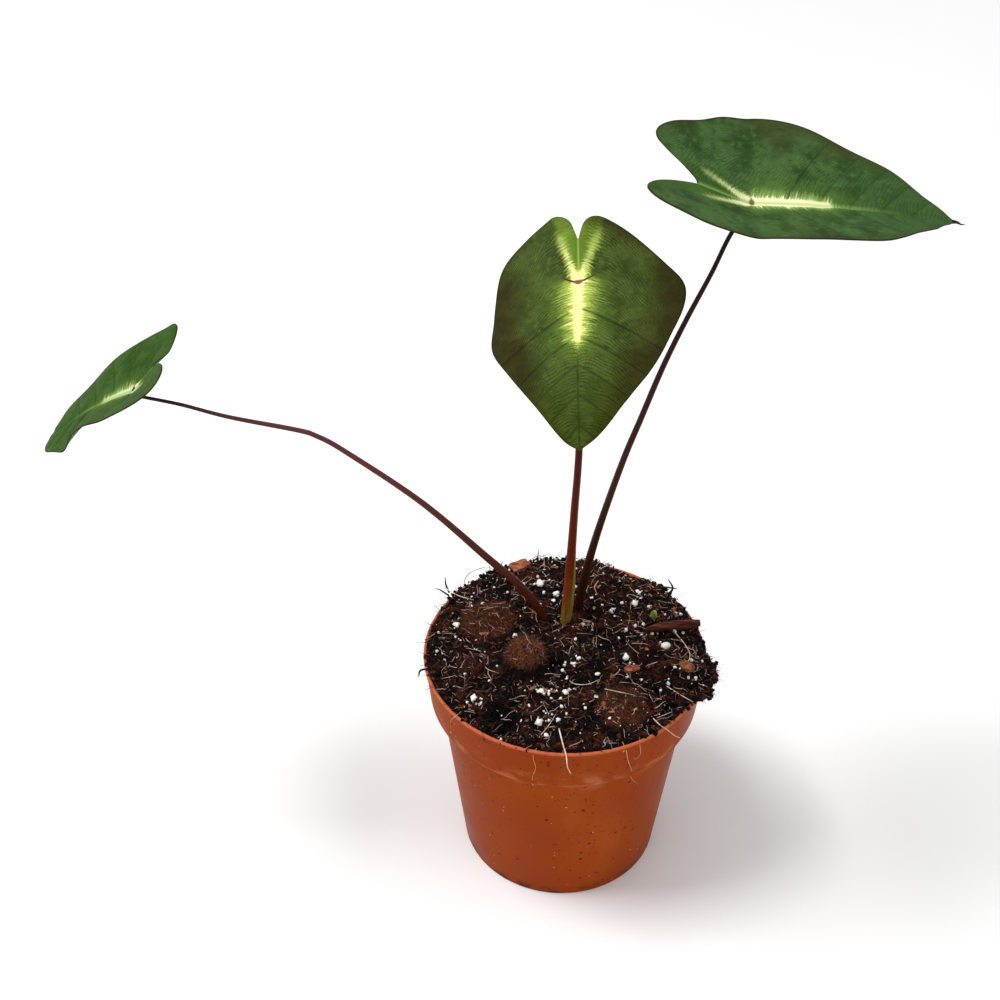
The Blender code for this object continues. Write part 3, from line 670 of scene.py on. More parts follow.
for i in range(ROOT_HAIRS):
    x, y, level = any_place(rng, 0.0, 0.98)
    if shade_ring_near(x, y) > 0.4 and rng.random() < 0.75:
        continue
    turn = rng.uniform(0.0, math.tau)
    heading = (math.cos(turn), math.sin(turn), rng.normal(0.1, 0.25))
    place = (x, y, level + rng.uniform(0.4, 1.1) + 0.8 * mix_crumble(x, y))
    length = 1.5 + 6.0 * rng.random() ** 1.6
    threads.append((bent_thread(place, heading, length, rng.uniform(0.09, 0.18), rng, 0.4, -0.08),
                    rng.uniform(0.84, 1.0)))
thrown("root_hairs", thread_shape, threads, thread_material)
threads = []
for i in range(LOOSE_ENDS):
    turn = SPILL_TURN + rng.normal(0.0, 0.3) if i < SPILL_ENDS else rng.uniform(0.0, math.tau)
    reach = mix_radius(turn) - rng.uniform(0.5, 2.5)
    place = (reach * math.cos(turn), reach * math.sin(turn), POT_HEIGHT + rng.uniform(0.4, 2.0))
    swing = turn + rng.normal(0.0, 0.7)
    heading = (math.cos(swing), math.sin(swing), rng.normal(-0.1, 0.35))
    length = rng.uniform(1.5, 3.6) * (1.0 if i < SPILL_ENDS else 0.8)
    threads.append((bent_thread(place, heading, length, rng.uniform(0.1, 0.24), rng, 0.3, -0.12),
                    rng.random() ** 3 * 0.8))
for clump_x, clump_y, clump_radius, clump_height in COIR_CLUMPS:
    for i in range(int(clump_radius * (60 + 6 * clump_height))):
        turn = rng.uniform(0.0, math.tau)
        reach = clump_radius * 0.85 * math.sqrt(rng.random())
        x, y = clump_x + reach * math.cos(turn), clump_y + reach * math.sin(turn)
        turn = rng.uniform(0.0, math.tau)
        heading = (math.cos(turn), math.sin(turn), rng.uniform(-0.3, 0.3))
        place = (x, y, mix_level(x, y) + 0.6 * mix_crumble(x, y) + rng.uniform(-0.1, 0.5))
        threads.append((bent_thread(place, heading, rng.uniform(1.2, 3.2), rng.uniform(0.06, 0.13), rng,
                                    0.45, -0.15), rng.uniform(0.30, 0.72) + 0.012 * clump_height))
thrown("matted_coir", thread_shape, threads, thread_material)

# ---------------------------------------------------------------- perlite
# Expanded volcanic glass, mixed in for air: chalky white grains with rounded corners, a dozen large ones
# that sit on the surface and a few hundred small ones, a few tinted by algae.

perlite_material = tinted("perlite", [(0.0, paint(196, 204, 140)), (0.18, paint(226, 224, 204)),
                                      (0.5, paint(244, 242, 234)), (1.0, paint(252, 251, 247))],
                          0.9, 0.3, 1400.0, 0.0003)
SMALL_GRAINS = 260
grain_shape = template("grain", lambda bm: bmesh.ops.create_icosphere(bm, subdivisions=2, radius=1.0))


def perlite_grain(centre, radius, rng):
    points = grain_shape[1]
    shift = rng.uniform(0.0, 90.0, 3)
    lumps = np.array([[1.0 + 0.75 * noise.noise(Vector(point * 1.9 + shift))] for point in points])
    return (points * lumps) @ np.diag(radius * rng.uniform(0.75, 1.15, 3)) @ any_turn(rng) + centre


rng = np.random.default_rng(23)
large = []
large_names = sorted(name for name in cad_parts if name.startswith("perlite_"))
for name in large_names:
    low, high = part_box(name)
    middle = (low + high) / 2 / MM
    radius = (high - low).x / 2 / MM
    level = mix_level(middle.x, middle.y)
    large.append((perlite_grain((middle.x, middle.y, level + radius * 0.7), radius * 0.98, rng), 0.75))
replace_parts(thrown("perlite_large", grain_shape, large, perlite_material), *large_names)
small = []
for i in range(SMALL_GRAINS):
    x, y, level = any_place(rng, 0.0, 0.97)
    if mound(x, y, COIR_CLUMPS) > 2.0:
        continue
    radius = 0.25 + 0.8 * rng.random() ** 3
    tint = 0.1 if rng.random() < 0.12 else 0.7
    small.append((perlite_grain((x, y, level + 0.5 + 0.5 * mix_crumble(x, y)), radius, rng), tint))
# little drifts where grains washed together
for x, y, spread, count in ((-8.0, -31.0, 5.0, 10), (1.0, -16.0, 4.0, 5), (-38.0, -33.0, 4.0, 5),
                            (30.0, -14.0, 5.0, 4), (-4.0, 30.0, 8.0, 4), (26.0, 19.0, 7.0, 5)):
    for i in range(count):
        a, b = x + rng.normal(0, spread / 2), y + rng.normal(0, spread / 2)
        centre = (a, b, mix_level(a, b) + 0.7 + 0.4 * mix_crumble(a, b))
        small.append((perlite_grain(centre, rng.uniform(0.4, 1.0), rng), 0.7))
thrown("perlite_small", grain_shape, small, perlite_material)

# ---------------------------------------------------------------- bark chips
# Three flakes of pine bark that came with the mix: layered, split along the grain, with worn corners.

bark_finish = Finish("bark_chips", 0.85, 0.3)
bark_layers = bark_finish.grain(240.0, 5.0, bark_finish.stretched(1.0, 1.6, 3.0), 0.5)
bark_colour = bark_finish.ramp(bark_layers, [(0.30, paint(70, 30, 18)), (0.48, paint(128, 68, 42)),
                                             (0.66, paint(168, 104, 68)), (0.8, paint(196, 142, 102))])
bark_material = bark_finish.done(bark_colour, bark_layers, 0.0008, 0.9)


def bark_chip(node, along, seed):
    low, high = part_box(node)
    middle = (low + high) / 2 / MM
    size = (high - low) / MM
    bm = bmesh.new()
    bmesh.ops.create_cube(bm, size=1.0)
    bmesh.ops.subdivide_edges(bm, edges=bm.edges[:], cuts=7, use_grid_fill=True)
    length, width = max(size.x, size.y) * 1.02, min(size.x, size.y) * 0.72
    for vert in bm.verts:
        x, y, z = vert.co
        ragged = 1.0 + 0.22 * noise.noise((x * 3.0 + seed, y * 3.0, 0.0))
        corner = 1.0 - 0.9 * (x * x + y * y) ** 2
        layer = 0.35 * noise.noise((x * 2.0, y * 7.0 + seed, z * 3.0))
        a, b = x * length * ragged * corner, y * width * ragged * corner
        vert.co = (middle.x + a * math.cos(along) - b * math.sin(along),
                   middle.y + a * math.sin(along) + b * math.cos(along),
                   middle.z + z * size.z * 0.9 + layer)
    bmesh.ops.recalc_face_normals(bm, faces=bm.faces)
    finish_piece(node + "_flake", bm, [bark_material], [node], 40.0)


bark_chip("bark_chip_1", 0.6, 1.0)
bark_chip("bark_chip_2", -0.9, 5.0)
bark_chip("bark_chip_3", 0.2, 9.0)

# ---------------------------------------------------------------- roots and twigs at the surface
# Pale roots that dried where they came over the lip, long tan hairs stuck to the band, and black peat
# twigs that stand up at the back. Each is a tapered strand along a few points.

STRAND_STEPS = 18
STRAND_SIDES = 6


def route_points(points, count):
    """Even steps along a smooth curve through a few points."""
    points = [Vector(point) for point in points]
    padded = [2 * points[0] - points[1]] + points + [2 * points[-1] - points[-2]]
    spans = len(points) - 1
    dense = []
    for i in range(12 * spans + 1):
        place = i / 12
        span = min(int(place), spans - 1)
        t = place - span
        a, b, c, d = padded[span:span + 4]
        dense.append(0.5 * (2 * b + (c - a) * t + (2 * a - 5 * b + 4 * c - d) * t * t
                            + (3 * b - a - 3 * c + d) * t ** 3))
    reached = [0.0]
    for before, after in zip(dense, dense[1:]):
        reached.append(reached[-1] + (after - before).length)
    found = []
    for i in range(count):
        target = reached[-1] * i / (count - 1)
        k = max(0, min(len(dense) - 2, int(np.searchsorted(reached, target, "right")) - 1))
        t = (target - reached[k]) / max(1e-9, reached[k + 1] - reached[k])
        found.append(dense[k].lerp(dense[k + 1], t))
    return found


def strand(points, radii, sides, shape=None, end_up=None):
    """A capped tube along even points, its radius set at even steps and its section by a function. It
    keeps each point's share of the length and its turn round the strand."""
    bm = bmesh.new()
    share_layer = bm.verts.layers.float.new("share")
    turn_layer = bm.verts.layers.float.new("turn")
    bmesh.ops.create_cone(bm, cap_ends=True, segments=sides, radius1=1.0, radius2=1.0, depth=1.0)
    tall = [edge for edge in bm.edges if abs(edge.verts[0].co.z - edge.verts[1].co.z) > 0.5]
    bmesh.ops.subdivide_edges(bm, edges=tall, cuts=len(points) - 2)
    across = Vector((1.0, 0.0, 0.0))
    frames = []
    for i, centre in enumerate(points):
        ahead = (points[min(i + 1, len(points) - 1)] - points[max(i - 1, 0)]).normalized()
        if end_up is not None and i == len(points) - 1:
            ahead = end_up
        across = (across - ahead * across.dot(ahead)).normalized()
        frames.append((centre, across, ahead.cross(across)))
    last = len(points) - 1
    for vert in bm.verts:
        share = vert.co.z + 0.5
        turn = math.atan2(vert.co.y, vert.co.x)
        radius = np.interp(share * (len(radii) - 1), range(len(radii)), radii)
        if shape:
            radius *= shape(share, turn)
        centre, side, other = frames[round(share * last)]
        vert[share_layer] = share
        vert[turn_layer] = turn
        vert.co = centre + side * (radius * math.cos(turn)) + other * (radius * math.sin(turn))
    bmesh.ops.recalc_face_normals(bm, faces=bm.faces)
    return bm


root_finish = Finish("dry_roots", 0.5, 0.5)
root_grain = root_finish.grain(500.0, 4.0)
root_colour = root_finish.ramp(root_grain, [(0.35, paint(214, 170, 122)), (0.5, paint(236, 214, 184)),
                                            (0.7, paint(250, 240, 224))])
root_material = root_finish.done(root_colour, root_grain, 0.0002, 0.6)
hair_finish = Finish("tan_root_hairs", 0.5, 0.5)
hair_colour = hair_finish.ramp(hair_finish.grain(300.0), [(0.3, paint(196, 118, 52)),
                                                          (0.7, paint(228, 164, 100))])
hair_material = hair_finish.done(hair_colour)
twig_finish = Finish("peat_twigs", 0.8, 0.3)
twig_grain = twig_finish.grain(900.0, 4.0)
twig_colour = twig_finish.ramp(twig_grain, [(0.3, paint(10, 8, 7)), (0.7, paint(38, 26, 18))])
twig_material = twig_finish.done(twig_colour, twig_grain, 0.0004, 0.9)


def on_mix(x, y, lift=0.6):
    return (x, y, mix_level(x, y) + lift)


def on_band(turn, level, lift=0.25):
    """A place on the outside of the band or the wall."""
    if level > BAND_LEVEL:
        share = (level - BAND_LEVEL) / (POT_HEIGHT - BAND_LEVEL)
        radius = BAND_FOOT + (RIM - BAND_FOOT) * share
    else:
        radius = FOOT + (WALL_TOP - FOOT) * level / (BAND_LEVEL - STEP_DROP)
    turn = math.radians(turn)
    return ((radius + lift) * math.cos(turn), (radius + lift) * math.sin(turn), level)


def strands(name, material, listed):
    """One piece of several strands: each is its points and its thickest radius."""
    whole = bmesh.new()
    for points, radius in listed:
        radii = [radius, radius * 0.95, radius * 0.75, radius * 0.35]
        one = strand(route_points(points, STRAND_STEPS), radii, STRAND_SIDES)
        copy = bpy.data.meshes.new("one_strand")
        one.to_mesh(copy)
        one.free()
        whole.from_mesh(copy)
        bpy.data.meshes.remove(copy)
    return finish_piece(name, whole, [material])


strands("surface_roots", root_material, [
    ([on_mix(-4, -48), (-2.6, -56, 108.4), (-1.5, -60.8, 107.4), (-0.9, -61.6, 102.0),
      (0.6, -61.2, 97.5)], 0.30),
    ([on_mix(33, -41), (36.5, -45.5, 108.8), (39.5, -46.9, 107.4), (43.0, -46.0, 103.0),
      (45.6, -42.6, 98.5)], 0.19),
    ([on_mix(-52, 37, 2.0), on_mix(-46, 31, 1.6), on_mix(-39, 26, 0.8)], 0.22),
    ([on_mix(47, 6, 1.2), on_mix(51, -2, 1.8), on_mix(52.0, -9, 1.8), on_mix(48, -17, 1.2)], 0.19),
    ([on_mix(-1, -19, 1), on_mix(2, -24, 1.6), on_mix(8, -26, 1.7), on_mix(13, -24.5, 1.2)], 0.18),
    ([on_mix(15, -30, 1), on_mix(21, -33, 1.6), on_mix(27, -34, 1.2)], 0.15),
    ([on_mix(41, -25, 1.2), on_mix(46, -29, 1.6), on_mix(51, -33, 1.2)], 0.21),
    ([on_mix(8, 11, 1.4), on_mix(12, 8, 1.8), on_mix(11, 3, 1.4)], 0.16),
    ([on_mix(-36, -12, 1), on_mix(-33, -17, 1.6), on_mix(-28, -19, 1.2)], 0.14),
    ([on_mix(-50, -12, 1), on_mix(-47, -16, 1.4), on_mix(-43, -17, 1.0)], 0.12),
    ([on_mix(-12, -50, 0.6), on_mix(-8, -47, 1.8), on_mix(-5, -42, 1.2)], 0.14),
    ([on_mix(16, 38, 0.6), on_mix(14, 32, 1.8), on_mix(15, 27, 1.2)], 0.14),
])
strands("band_root_hairs", hair_material, [
    ([(21.0, -54.0, 108.0), on_band(-68, 105), on_band(-66.5, 98), on_band(-64, 90), on_band(-61.5, 82),
      on_band(-58, 75), on_band(-54.5, 70)], 0.16),
    ([(28.0, -50.5, 108.0), on_band(-62, 105), on_band(-61, 99), on_band(-63, 96.5),
      on_band(-64, 98.5)], 0.15),
    ([(-13.0, -57.0, 107.6), on_band(-104, 104), on_band(-103, 97), on_band(-104.5, 89),
      on_band(-103, 80)], 0.12),
])
strands("peat_twigs", twig_material, [
    ([on_mix(-50, 36, 0.0), on_mix(-51.5, 38, 3.0), on_mix(-51.8, 39.5, 6.0)], 0.5),
    ([on_mix(-50, 34, 0.0), on_mix(-54, 35.5, 2.0), on_mix(-56.0, 36.0, 2.4)], 0.45),
    ([on_mix(-10, 54, 0.0), on_mix(-10.4, 55, 3.5), on_mix(-9.9, 55.5, 7.4)], 0.34),
    ([on_mix(46, 33, 0.0), on_mix(49, 36.0, 2.5), on_mix(47.0, 38.5, 5.6)], 0.6),
    ([on_mix(42, 38, 0.0), on_mix(46, 36.5, 2.6), on_mix(50.5, 34.5, 3.6)], 0.5),
    ([on_mix(-44, 36, 0.3), on_mix(-42, 44, 3.4), on_mix(-34, 47.5, 4.6), on_mix(-30, 46, 2.6)], 0.16),
    ([(-57.5, -12.0, 107.5), (-60.8, -13.0, 107.6), (-61.6, -13.3, 104.0)], 0.5),
])

# ---------------------------------------------------------------- corm
# The starchy tuber under the surface, with a papery ringed skin. The mix hides it.

corm_finish = Finish("corm_skin", 0.85, 0.3)
corm_rings = corm_finish.grain(120.0, 4.0, corm_finish.stretched(0.3, 0.3, 3.0))
corm_colour = corm_finish.ramp(corm_rings, [(0.35, paint(60, 38, 24)), (0.65, paint(140, 104, 70))])
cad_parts["corm"].data.materials.clear()
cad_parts["corm"].data.materials.append(corm_finish.done(corm_colour, corm_rings, 0.0008, 0.8))

# ---------------------------------------------------------------- old stalk stub and new shoot
# The dried sheath of a cut leaf, lying on the mix with its two edges rolled in, and beside it the green
# tip of an offset that is coming up from the corm.

stub_finish = Finish("dry_stalk", 0.75, 0.15)
stub_streaks = stub_finish.grain(190.0, 5.0, stub_finish.stretched(0.35, 4.0, 4.0), 0.3)
stub_colour = stub_finish.ramp(stub_streaks, [(0.32, paint(30, 12, 8)), (0.50, paint(70, 32, 21)),
                                              (0.64, paint(110, 56, 38)), (0.8, paint(150, 94, 66))])
stub_material = stub_finish.done(stub_colour, stub_streaks, 0.0006, 0.9)
stub_low, stub_high = (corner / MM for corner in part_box("old_stalk_stub"))
stub_start = Vector((stub_low.x, stub_low.y + 2.0, (stub_low.z + stub_high.z) / 2 - 0.3))
stub_end = Vector((stub_high.x, stub_high.y - 2.0, (stub_low.z + stub_high.z) / 2))
stub_middle = stub_start.lerp(stub_end, 0.5) + Vector((0, 0.4, 0.5))
stub_line = route_points([stub_start, stub_middle, stub_end], 26)


def stub_section(share, turn):
    """A flattened tube with a groove along its top, where the sheath was open."""
    groove = 0.42 * math.exp(-((turn - 1.3) / 0.33) ** 2)
    return (1.0 - groove) * (1.0 + 0.06 * math.sin(9.0 * share + 3.0 * turn))


stub_bm = strand(stub_line, [1.0, 1.75, 1.9, 1.8, 1.75, 1.5], 28, stub_section)
finish_piece("dry_stalk_stub", stub_bm, [stub_material], ["old_stalk_stub"])

shoot_finish = Finish("green_shoot", 0.42, 0.5)
shoot_streaks = shoot_finish.grain(220.0, 3.0, shoot_finish.stretched(4.0, 4.0, 0.6))
shoot_colour = shoot_finish.ramp(shoot_streaks, [(0.35, paint(86, 112, 34)), (0.55, paint(140, 170, 62)),
                                                 (0.75, paint(196, 206, 120))])
shoot_low, shoot_high = (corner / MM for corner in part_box("offset_bud"))
shoot_middle = (shoot_low + shoot_high) / 2
shoot_line = route_points([(shoot_middle.x - 0.3, shoot_middle.y + 0.3, shoot_low.z - 0.8),
                           (shoot_middle.x, shoot_middle.y, shoot_middle.z),
                           (shoot_middle.x + 0.5, shoot_middle.y - 0.5, shoot_high.z)], 16)
shoot_bm = strand(shoot_line, [1.2, 1.55, 1.6, 1.35, 0.95, 0.3], 20)
finish_piece("offset_shoot", shoot_bm, [shoot_finish.done(shoot_colour, shoot_streaks, 0.0003, 0.6)],
             ["offset_bud"])

# ---------------------------------------------------------------- stalks
# Each leaf's stalk is round, smooth and full of sap, thick and sheathed at its foot and thin where it
# meets the blade. They stand in the mix close together, where they grow from the corm.

LEAVES = {
    "left": {
        "joint": (-165.0, 2.0, 237.4), "midrib": (-0.819, 0.320, -0.476), "upper": (-0.521, -0.069, 0.851),
        "bend_tip": 0.0059, "bend_lobes": 0.0026,
        "fold": (0.34, 0.05), "tip_flattens": 0.42, "sinus_lift": 0.26, "lobe_lift": 0.19,
        "halves": (
            ((60.5, 0), (60, 3), (57.5, 6.5), (52, 10), (45, 13.5), (32, 19), (19, 22.5), (5, 23),
             (-8, 23.5), (-19, 24), (-28, 21), (-32.5, 15), (-31, 9.5), (-26, 4.5), (-16.5, 0)),
            ((60.5, 0), (60, 3.4), (57.5, 7.2), (52, 11.2), (45, 15), (32, 22), (19, 27), (5, 31),
             (-5, 32.5), (-10, 30), (-13.2, 24.5), (-15, 17.5), (-16.2, 10.5), (-17, 4), (-16.5, 0)),
        ),
        "stalk": ((-6.0, 14.4, 97.0), (-8.2, 13.0, 112.0), (-16.9, 11.9, 129.9), (-33.1, 10.8, 149.4),
                  (-59.1, 8.9, 179.5), (-88.1, 6.9, 206.1), (-98.2, 6.2, 213.6), (-105.5, 5.7, 216.8),
                  (-130.5, 4.2, 223.8), (-148.0, 3.2, 230.2)),
        "radii": (1.9, 1.75, 1.6, 1.35, 1.2, 1.05, 0.95, 0.75, 0.65), "sheath": 0.0,
        "stalk_colours": [(0.0, paint(78, 32, 14)), (0.12, paint(72, 28, 14)), (0.35, paint(80, 44, 34)),
                          (0.60, paint(100, 52, 54)), (0.80, paint(80, 48, 50)), (1.0, paint(28, 18, 20))],
    },
    "centre": {
        "joint": (-0.7, -15.0, 292.6), "midrib": (-0.056, -0.922, -0.383),
        "upper": (-0.332, -0.344, 0.878),
        "bend_tip": 0.0040, "bend_lobes": 0.0024,
        "fold": (-0.40, -0.12), "tip_flattens": 0.0, "sinus_lift": 0.03, "lobe_lift": 0.18,
        "halves": (
            ((64, 0), (59, 6), (47, 15), (33, 24), (20, 30), (8, 34), (-2, 34), (-10, 28), (-20, 18),
             (-25, 10.5), (-26, 6), (-23.5, 2.5), (-17, 0)),
            ((64, 0), (59, 6), (46, 15), (32, 25), (21, 31.5), (9, 31.6), (-5, 31), (-14, 28),
             (-21, 20.5), (-26, 12.5), (-27.5, 8), (-24.5, 3), (-17, 0)),
        ),
        "stalk": ((0.0, 11.0, 97.0), (0.0, 10.5, 112.0), (1.2, 7.2, 138.9), (2.0, 2.0, 179.8),
                  (2.6, -2.3, 211.7), (2.0, -8.5, 255.0), (0.7, -12.9, 280.0)),
        "radii": (1.3, 1.9, 2.0, 1.7, 1.5, 1.4, 1.3, 1.2, 1.1), "sheath": 0.55,
        "stalk_colours": [(0.0, paint(150, 136, 60)), (0.10, paint(140, 108, 42)),
                          (0.16, paint(122, 60, 22)), (0.28, paint(96, 30, 10)),
                          (0.55, paint(72, 14, 9)), (1.0, paint(56, 9, 8))],
    },
    "right": {
        "joint": (58.5, -1.2, 315.6), "midrib": (0.999, -0.045, 0.009), "upper": (-0.020, -0.242, 0.970),
        "bend_tip": 0.0030, "bend_lobes": 0.0029,
        "fold": (0.21, 0.42), "tip_flattens": 0.0, "sinus_lift": 0.10, "lobe_lift": 0.45,
        "halves": (
            ((70, 0), (63, 6.5), (49, 17), (31, 27), (16, 34), (3, 36.5), (-8, 35), (-17, 30), (-26, 26),
             (-31, 21), (-31.5, 16), (-28, 11), (-23, 6), (-18, 0)),
            ((70, 0), (64, 5.5), (56, 13), (42, 24.5), (30, 29.5), (17, 30.5), (4, 30.5), (-8, 31.5),
             (-17, 31), (-25, 26.5), (-32, 21.5), (-35, 16), (-33, 10.5), (-27, 5), (-18, 0)),
        ),
        "stalk": ((5.2, 17.6, 97.0), (5.4, 18.3, 111.0), (10.8, 15.5, 149.5), (20.0, 11.8, 193.8),
                  (27.0, 9.3, 220.8), (33.3, 7.0, 244.5), (39.8, 4.8, 265.1), (47.2, 2.4, 286.2),
                  (52.6, 0.4, 303.3)),
        "radii": (1.7, 1.8, 1.6, 1.4, 1.25, 1.15, 1.0, 0.85, 0.75), "sheath": 0.2,
        "stalk_colours": [(0.0, paint(48, 18, 9)), (0.15, paint(40, 16, 9)), (0.40, paint(56, 34, 17)),
                          (0.65, paint(52, 22, 26)), (0.85, paint(30, 13, 16)), (1.0, paint(14, 8, 9))],
    },
}
STALK_STEPS = 150
STALK_SIDES = 24
NECK = 3.0              # under the joint, where the stalk turns square to the blade
STALK_TOP = 1.1         # under the joint, where the stalk ends in the blade's thickness


def leaf_axes(leaf):
    """Unit vectors along the midrib, out to the first half's side, and up from the blade."""
    along = Vector(leaf["midrib"]).normalized()
    up = Vector(leaf["upper"])
    up = (up - along * up.dot(along)).normalized()
    return along, up.cross(along), up


def stalk_finish(side, leaf):
    made = Finish("stalk_" + side, 0.45, 0.06)
    share = made.field("share")
    turn = made.field("turn")
    streaks = made.grain(1.0, 4.0, made.vector(made.times(turn, 2.6),
                                               made.times(share, 26.0)))
    flecks = made.grain(1.0, 2.0, made.vector(made.times(turn, 9.0),
                                              made.times(share, 150.0)))
    moved = made.plus(share, made.times(made.minus(streaks, 0.5), 0.22))
    colour = made.ramp(moved, leaf["stalk_colours"])
    light_side = made.times(made.between(flecks, 0.5, 0.72), 0.22)
    colour = made.blend(light_side, colour, paint(128, 72, 48))
    if leaf["sheath"] > 0.3:
        strip = made.between(made.size(turn), 0.55, 0.85, 1.0, 0.0)
        low_down = made.between(share, 0.42, 0.60, 1.0, 0.0)
        colour = made.blend(made.times(strip, low_down), colour, paint(118, 112, 46))
    return made.done(colour, streaks, 0.0003, 0.4, made.between(streaks, 0.3, 0.7, 0.28, 0.44))


for side, leaf in LEAVES.items():
    up = leaf_axes(leaf)[2]
    joint = Vector(leaf["joint"])
    route = [Vector(point) for point in leaf["stalk"]] + [joint - up * NECK, joint - up * STALK_TOP]
    line = route_points(route, STALK_STEPS)

    def section(share, turn, leaf=leaf):
        """Round, with a thin wing along one side of the foot and a flare where it joins the blade."""
        wing = leaf["sheath"] * smoothstep(share / 0.08) * (1.0 - smoothstep((share - 0.12) / 0.22))
        ridge = wing * math.exp(-(turn / 0.45) ** 2)
        return 1.0 + ridge + 0.5 * smoothstep((share - 0.985) / 0.015)

    bm = strand(line, leaf["radii"], STALK_SIDES, section, up)
    finish_piece("stalk_" + side, bm, [stalk_finish(side, leaf)],
                 ["petiole_" + side], 60.0)

# ---------------------------------------------------------------- blades
# Each blade is one heart-shaped sheet, thin and waxy, held near its notch by the stalk. A pale stripe
# runs along the midrib and feathers into the green, the side veins curve forward to a dark margin, and
# the ribs stand out below.

BLADE_ROWS = 190
BLADE_COLUMNS = 96
MIDRIB_SOFTNESS = 3.0   # width over which the fold along the midrib is rounded
TIP_START = 4.0         # along the midrib, where a folded first half starts to flatten
TIP_REACH = 34.0        # and the length over which it does
VEIN_STEP = 11.0        # between side veins, along the midrib
LAMINA = 0.42           # thickness between the ribs
MIDRIB_DEPTH = 1.5
BLADE_FIELDS = ("vein", "step", "out", "margin", "stripe", "lobe", "inner", "away", "along", "mark")

# per leaf: the stripe's end and half width, its spikes, the lobe stripes, then the colours
LEAF_LOOKS = {
    "left": {
        "stripe_end": 17.0, "stripe_half": 1.5, "spikes": 3.6, "tail": 0.7, "sheen": 0.01, "arms": 0.7,
        "veins": 0.4, "ribs": 0.55, "mark": paint(48, 52, 28),
        "lobe_angle": 22.0, "lobe_end": 13.0, "lobe_half": 0.3, "lobe_strength": 0.9, "lobe_second": 0.8,
        "core": paint(232, 240, 186), "halo": paint(124, 154, 80), "glow": paint(76, 106, 42),
        "lit_lobe_panel": paint(68, 100, 36), "green": paint(54, 84, 30), "deep": paint(40, 66, 22),
        "light": paint(72, 102, 42), "brown": paint(52, 68, 26),
        "brown_start": 1.2, "tip": paint(60, 90, 40),
    },
    "centre": {
        "stripe_end": 23.0, "stripe_half": 1.7, "spikes": 6.4, "tail": 0.0, "sheen": 0.04, "arms": 1.0,
        "veins": 0.74, "ribs": 0.95, "mark": paint(128, 84, 82),
        "lobe_angle": 20.0, "lobe_end": 20.0, "lobe_half": 0.1, "lobe_strength": 1.0, "lobe_second": 0.55,
        "core": paint(252, 252, 160), "halo": paint(186, 206, 92), "glow": paint(100, 130, 46),
        "lit_lobe_panel": paint(142, 176, 52), "green": paint(72, 90, 36), "deep": paint(44, 60, 20),
        "light": paint(90, 108, 48), "brown": paint(50, 40, 14),
        "brown_start": 0.64, "tip": paint(56, 68, 4),
    },
    "right": {
        "stripe_end": 26.0, "stripe_half": 2.1, "spikes": 4.2, "tail": 0.6, "sheen": 0.04, "arms": 0.4,
        "veins": 0.42, "ribs": 0.6, "mark": paint(112, 86, 66),
        "lobe_angle": 24.0, "lobe_end": 17.0, "lobe_half": 0.3, "lobe_strength": 0.75, "lobe_second": 0.9,
        "core": paint(254, 255, 200), "halo": paint(140, 168, 92), "glow": paint(80, 112, 50),
        "lit_lobe_panel": paint(72, 108, 34), "green": paint(56, 84, 38), "deep": paint(36, 58, 25),
        "light": paint(80, 111, 62), "brown": paint(54, 46, 20),
        "brown_start": 0.94, "tip": paint(60, 92, 44),
    },
}


def side_vein_place(s, t):
    """Which side vein a place lies by, as a running number, and the millimetres to the next one."""
    out = abs(t)
    start = (s - 0.25 * out - 0.008 * out * out) / (1.0 + 0.012 * out)
    if start >= 0.0:
        return start / VEIN_STEP, VEIN_STEP
    reach = math.hypot(s, out) + 0.4
    return 2.0 * start / reach, reach / 2.0


def blade_relief(s, t, margin, length):
    """Height of the sheet over its plain curve: ribs pressed in, panels raised, margins waved."""
    vein, step = side_vein_place(s, t)
    off_vein = abs(vein - round(vein)) * step
    filled = 0.85 * (1.0 - smoothstep((abs(vein + 0.5) - 0.5) / 0.5))
    panel = 0.6 * max(filled, smoothstep(off_vein / 3.2)) * smoothstep(abs(t) / 5.0) * (1.0 - margin ** 4)
    furrow = -0.5 * math.exp(-(t / 1.1) ** 2) * smoothstep((length - s) / 18.0)
    wave = 0.4 * margin ** 3 * math.sin(2.1 * vein + (1.3 if t > 0 else 0.0)) * smoothstep(abs(t) / 10.0)
    return panel + furrow + wave


def blade_point(leaf, s, t, raised=0.0):
    """Point of the upper face at s along the midrib from the joint and t out from it."""
    along, side, up = leaf["axes"]
    bend = leaf["bend_tip"] if s > 0 else leaf["bend_lobes"]
    angle = bend * s
    spine = along * (math.sin(angle) / bend) - up * ((1.0 - math.cos(angle)) / bend)
    square = along * math.sin(angle) + up * math.cos(angle)
    fold = leaf["fold"][0] if t > 0 else leaf["fold"][1]
    if t > 0:
        fold -= leaf["tip_flattens"] * smoothstep((s - TIP_START) / TIP_REACH)
    rear = max(-s, 0.0)
    soft = MIDRIB_SOFTNESS
    height = fold * (math.hypot(t, soft) - soft)
    height += leaf["sinus_lift"] * rear * math.exp(-(t / (0.45 * rear + 1.0)) ** 2)
    height += leaf["lobe_lift"] * (math.hypot(rear, soft) - soft)
    return Vector(leaf["joint"]) + spine + square * (height + raised) + side * t


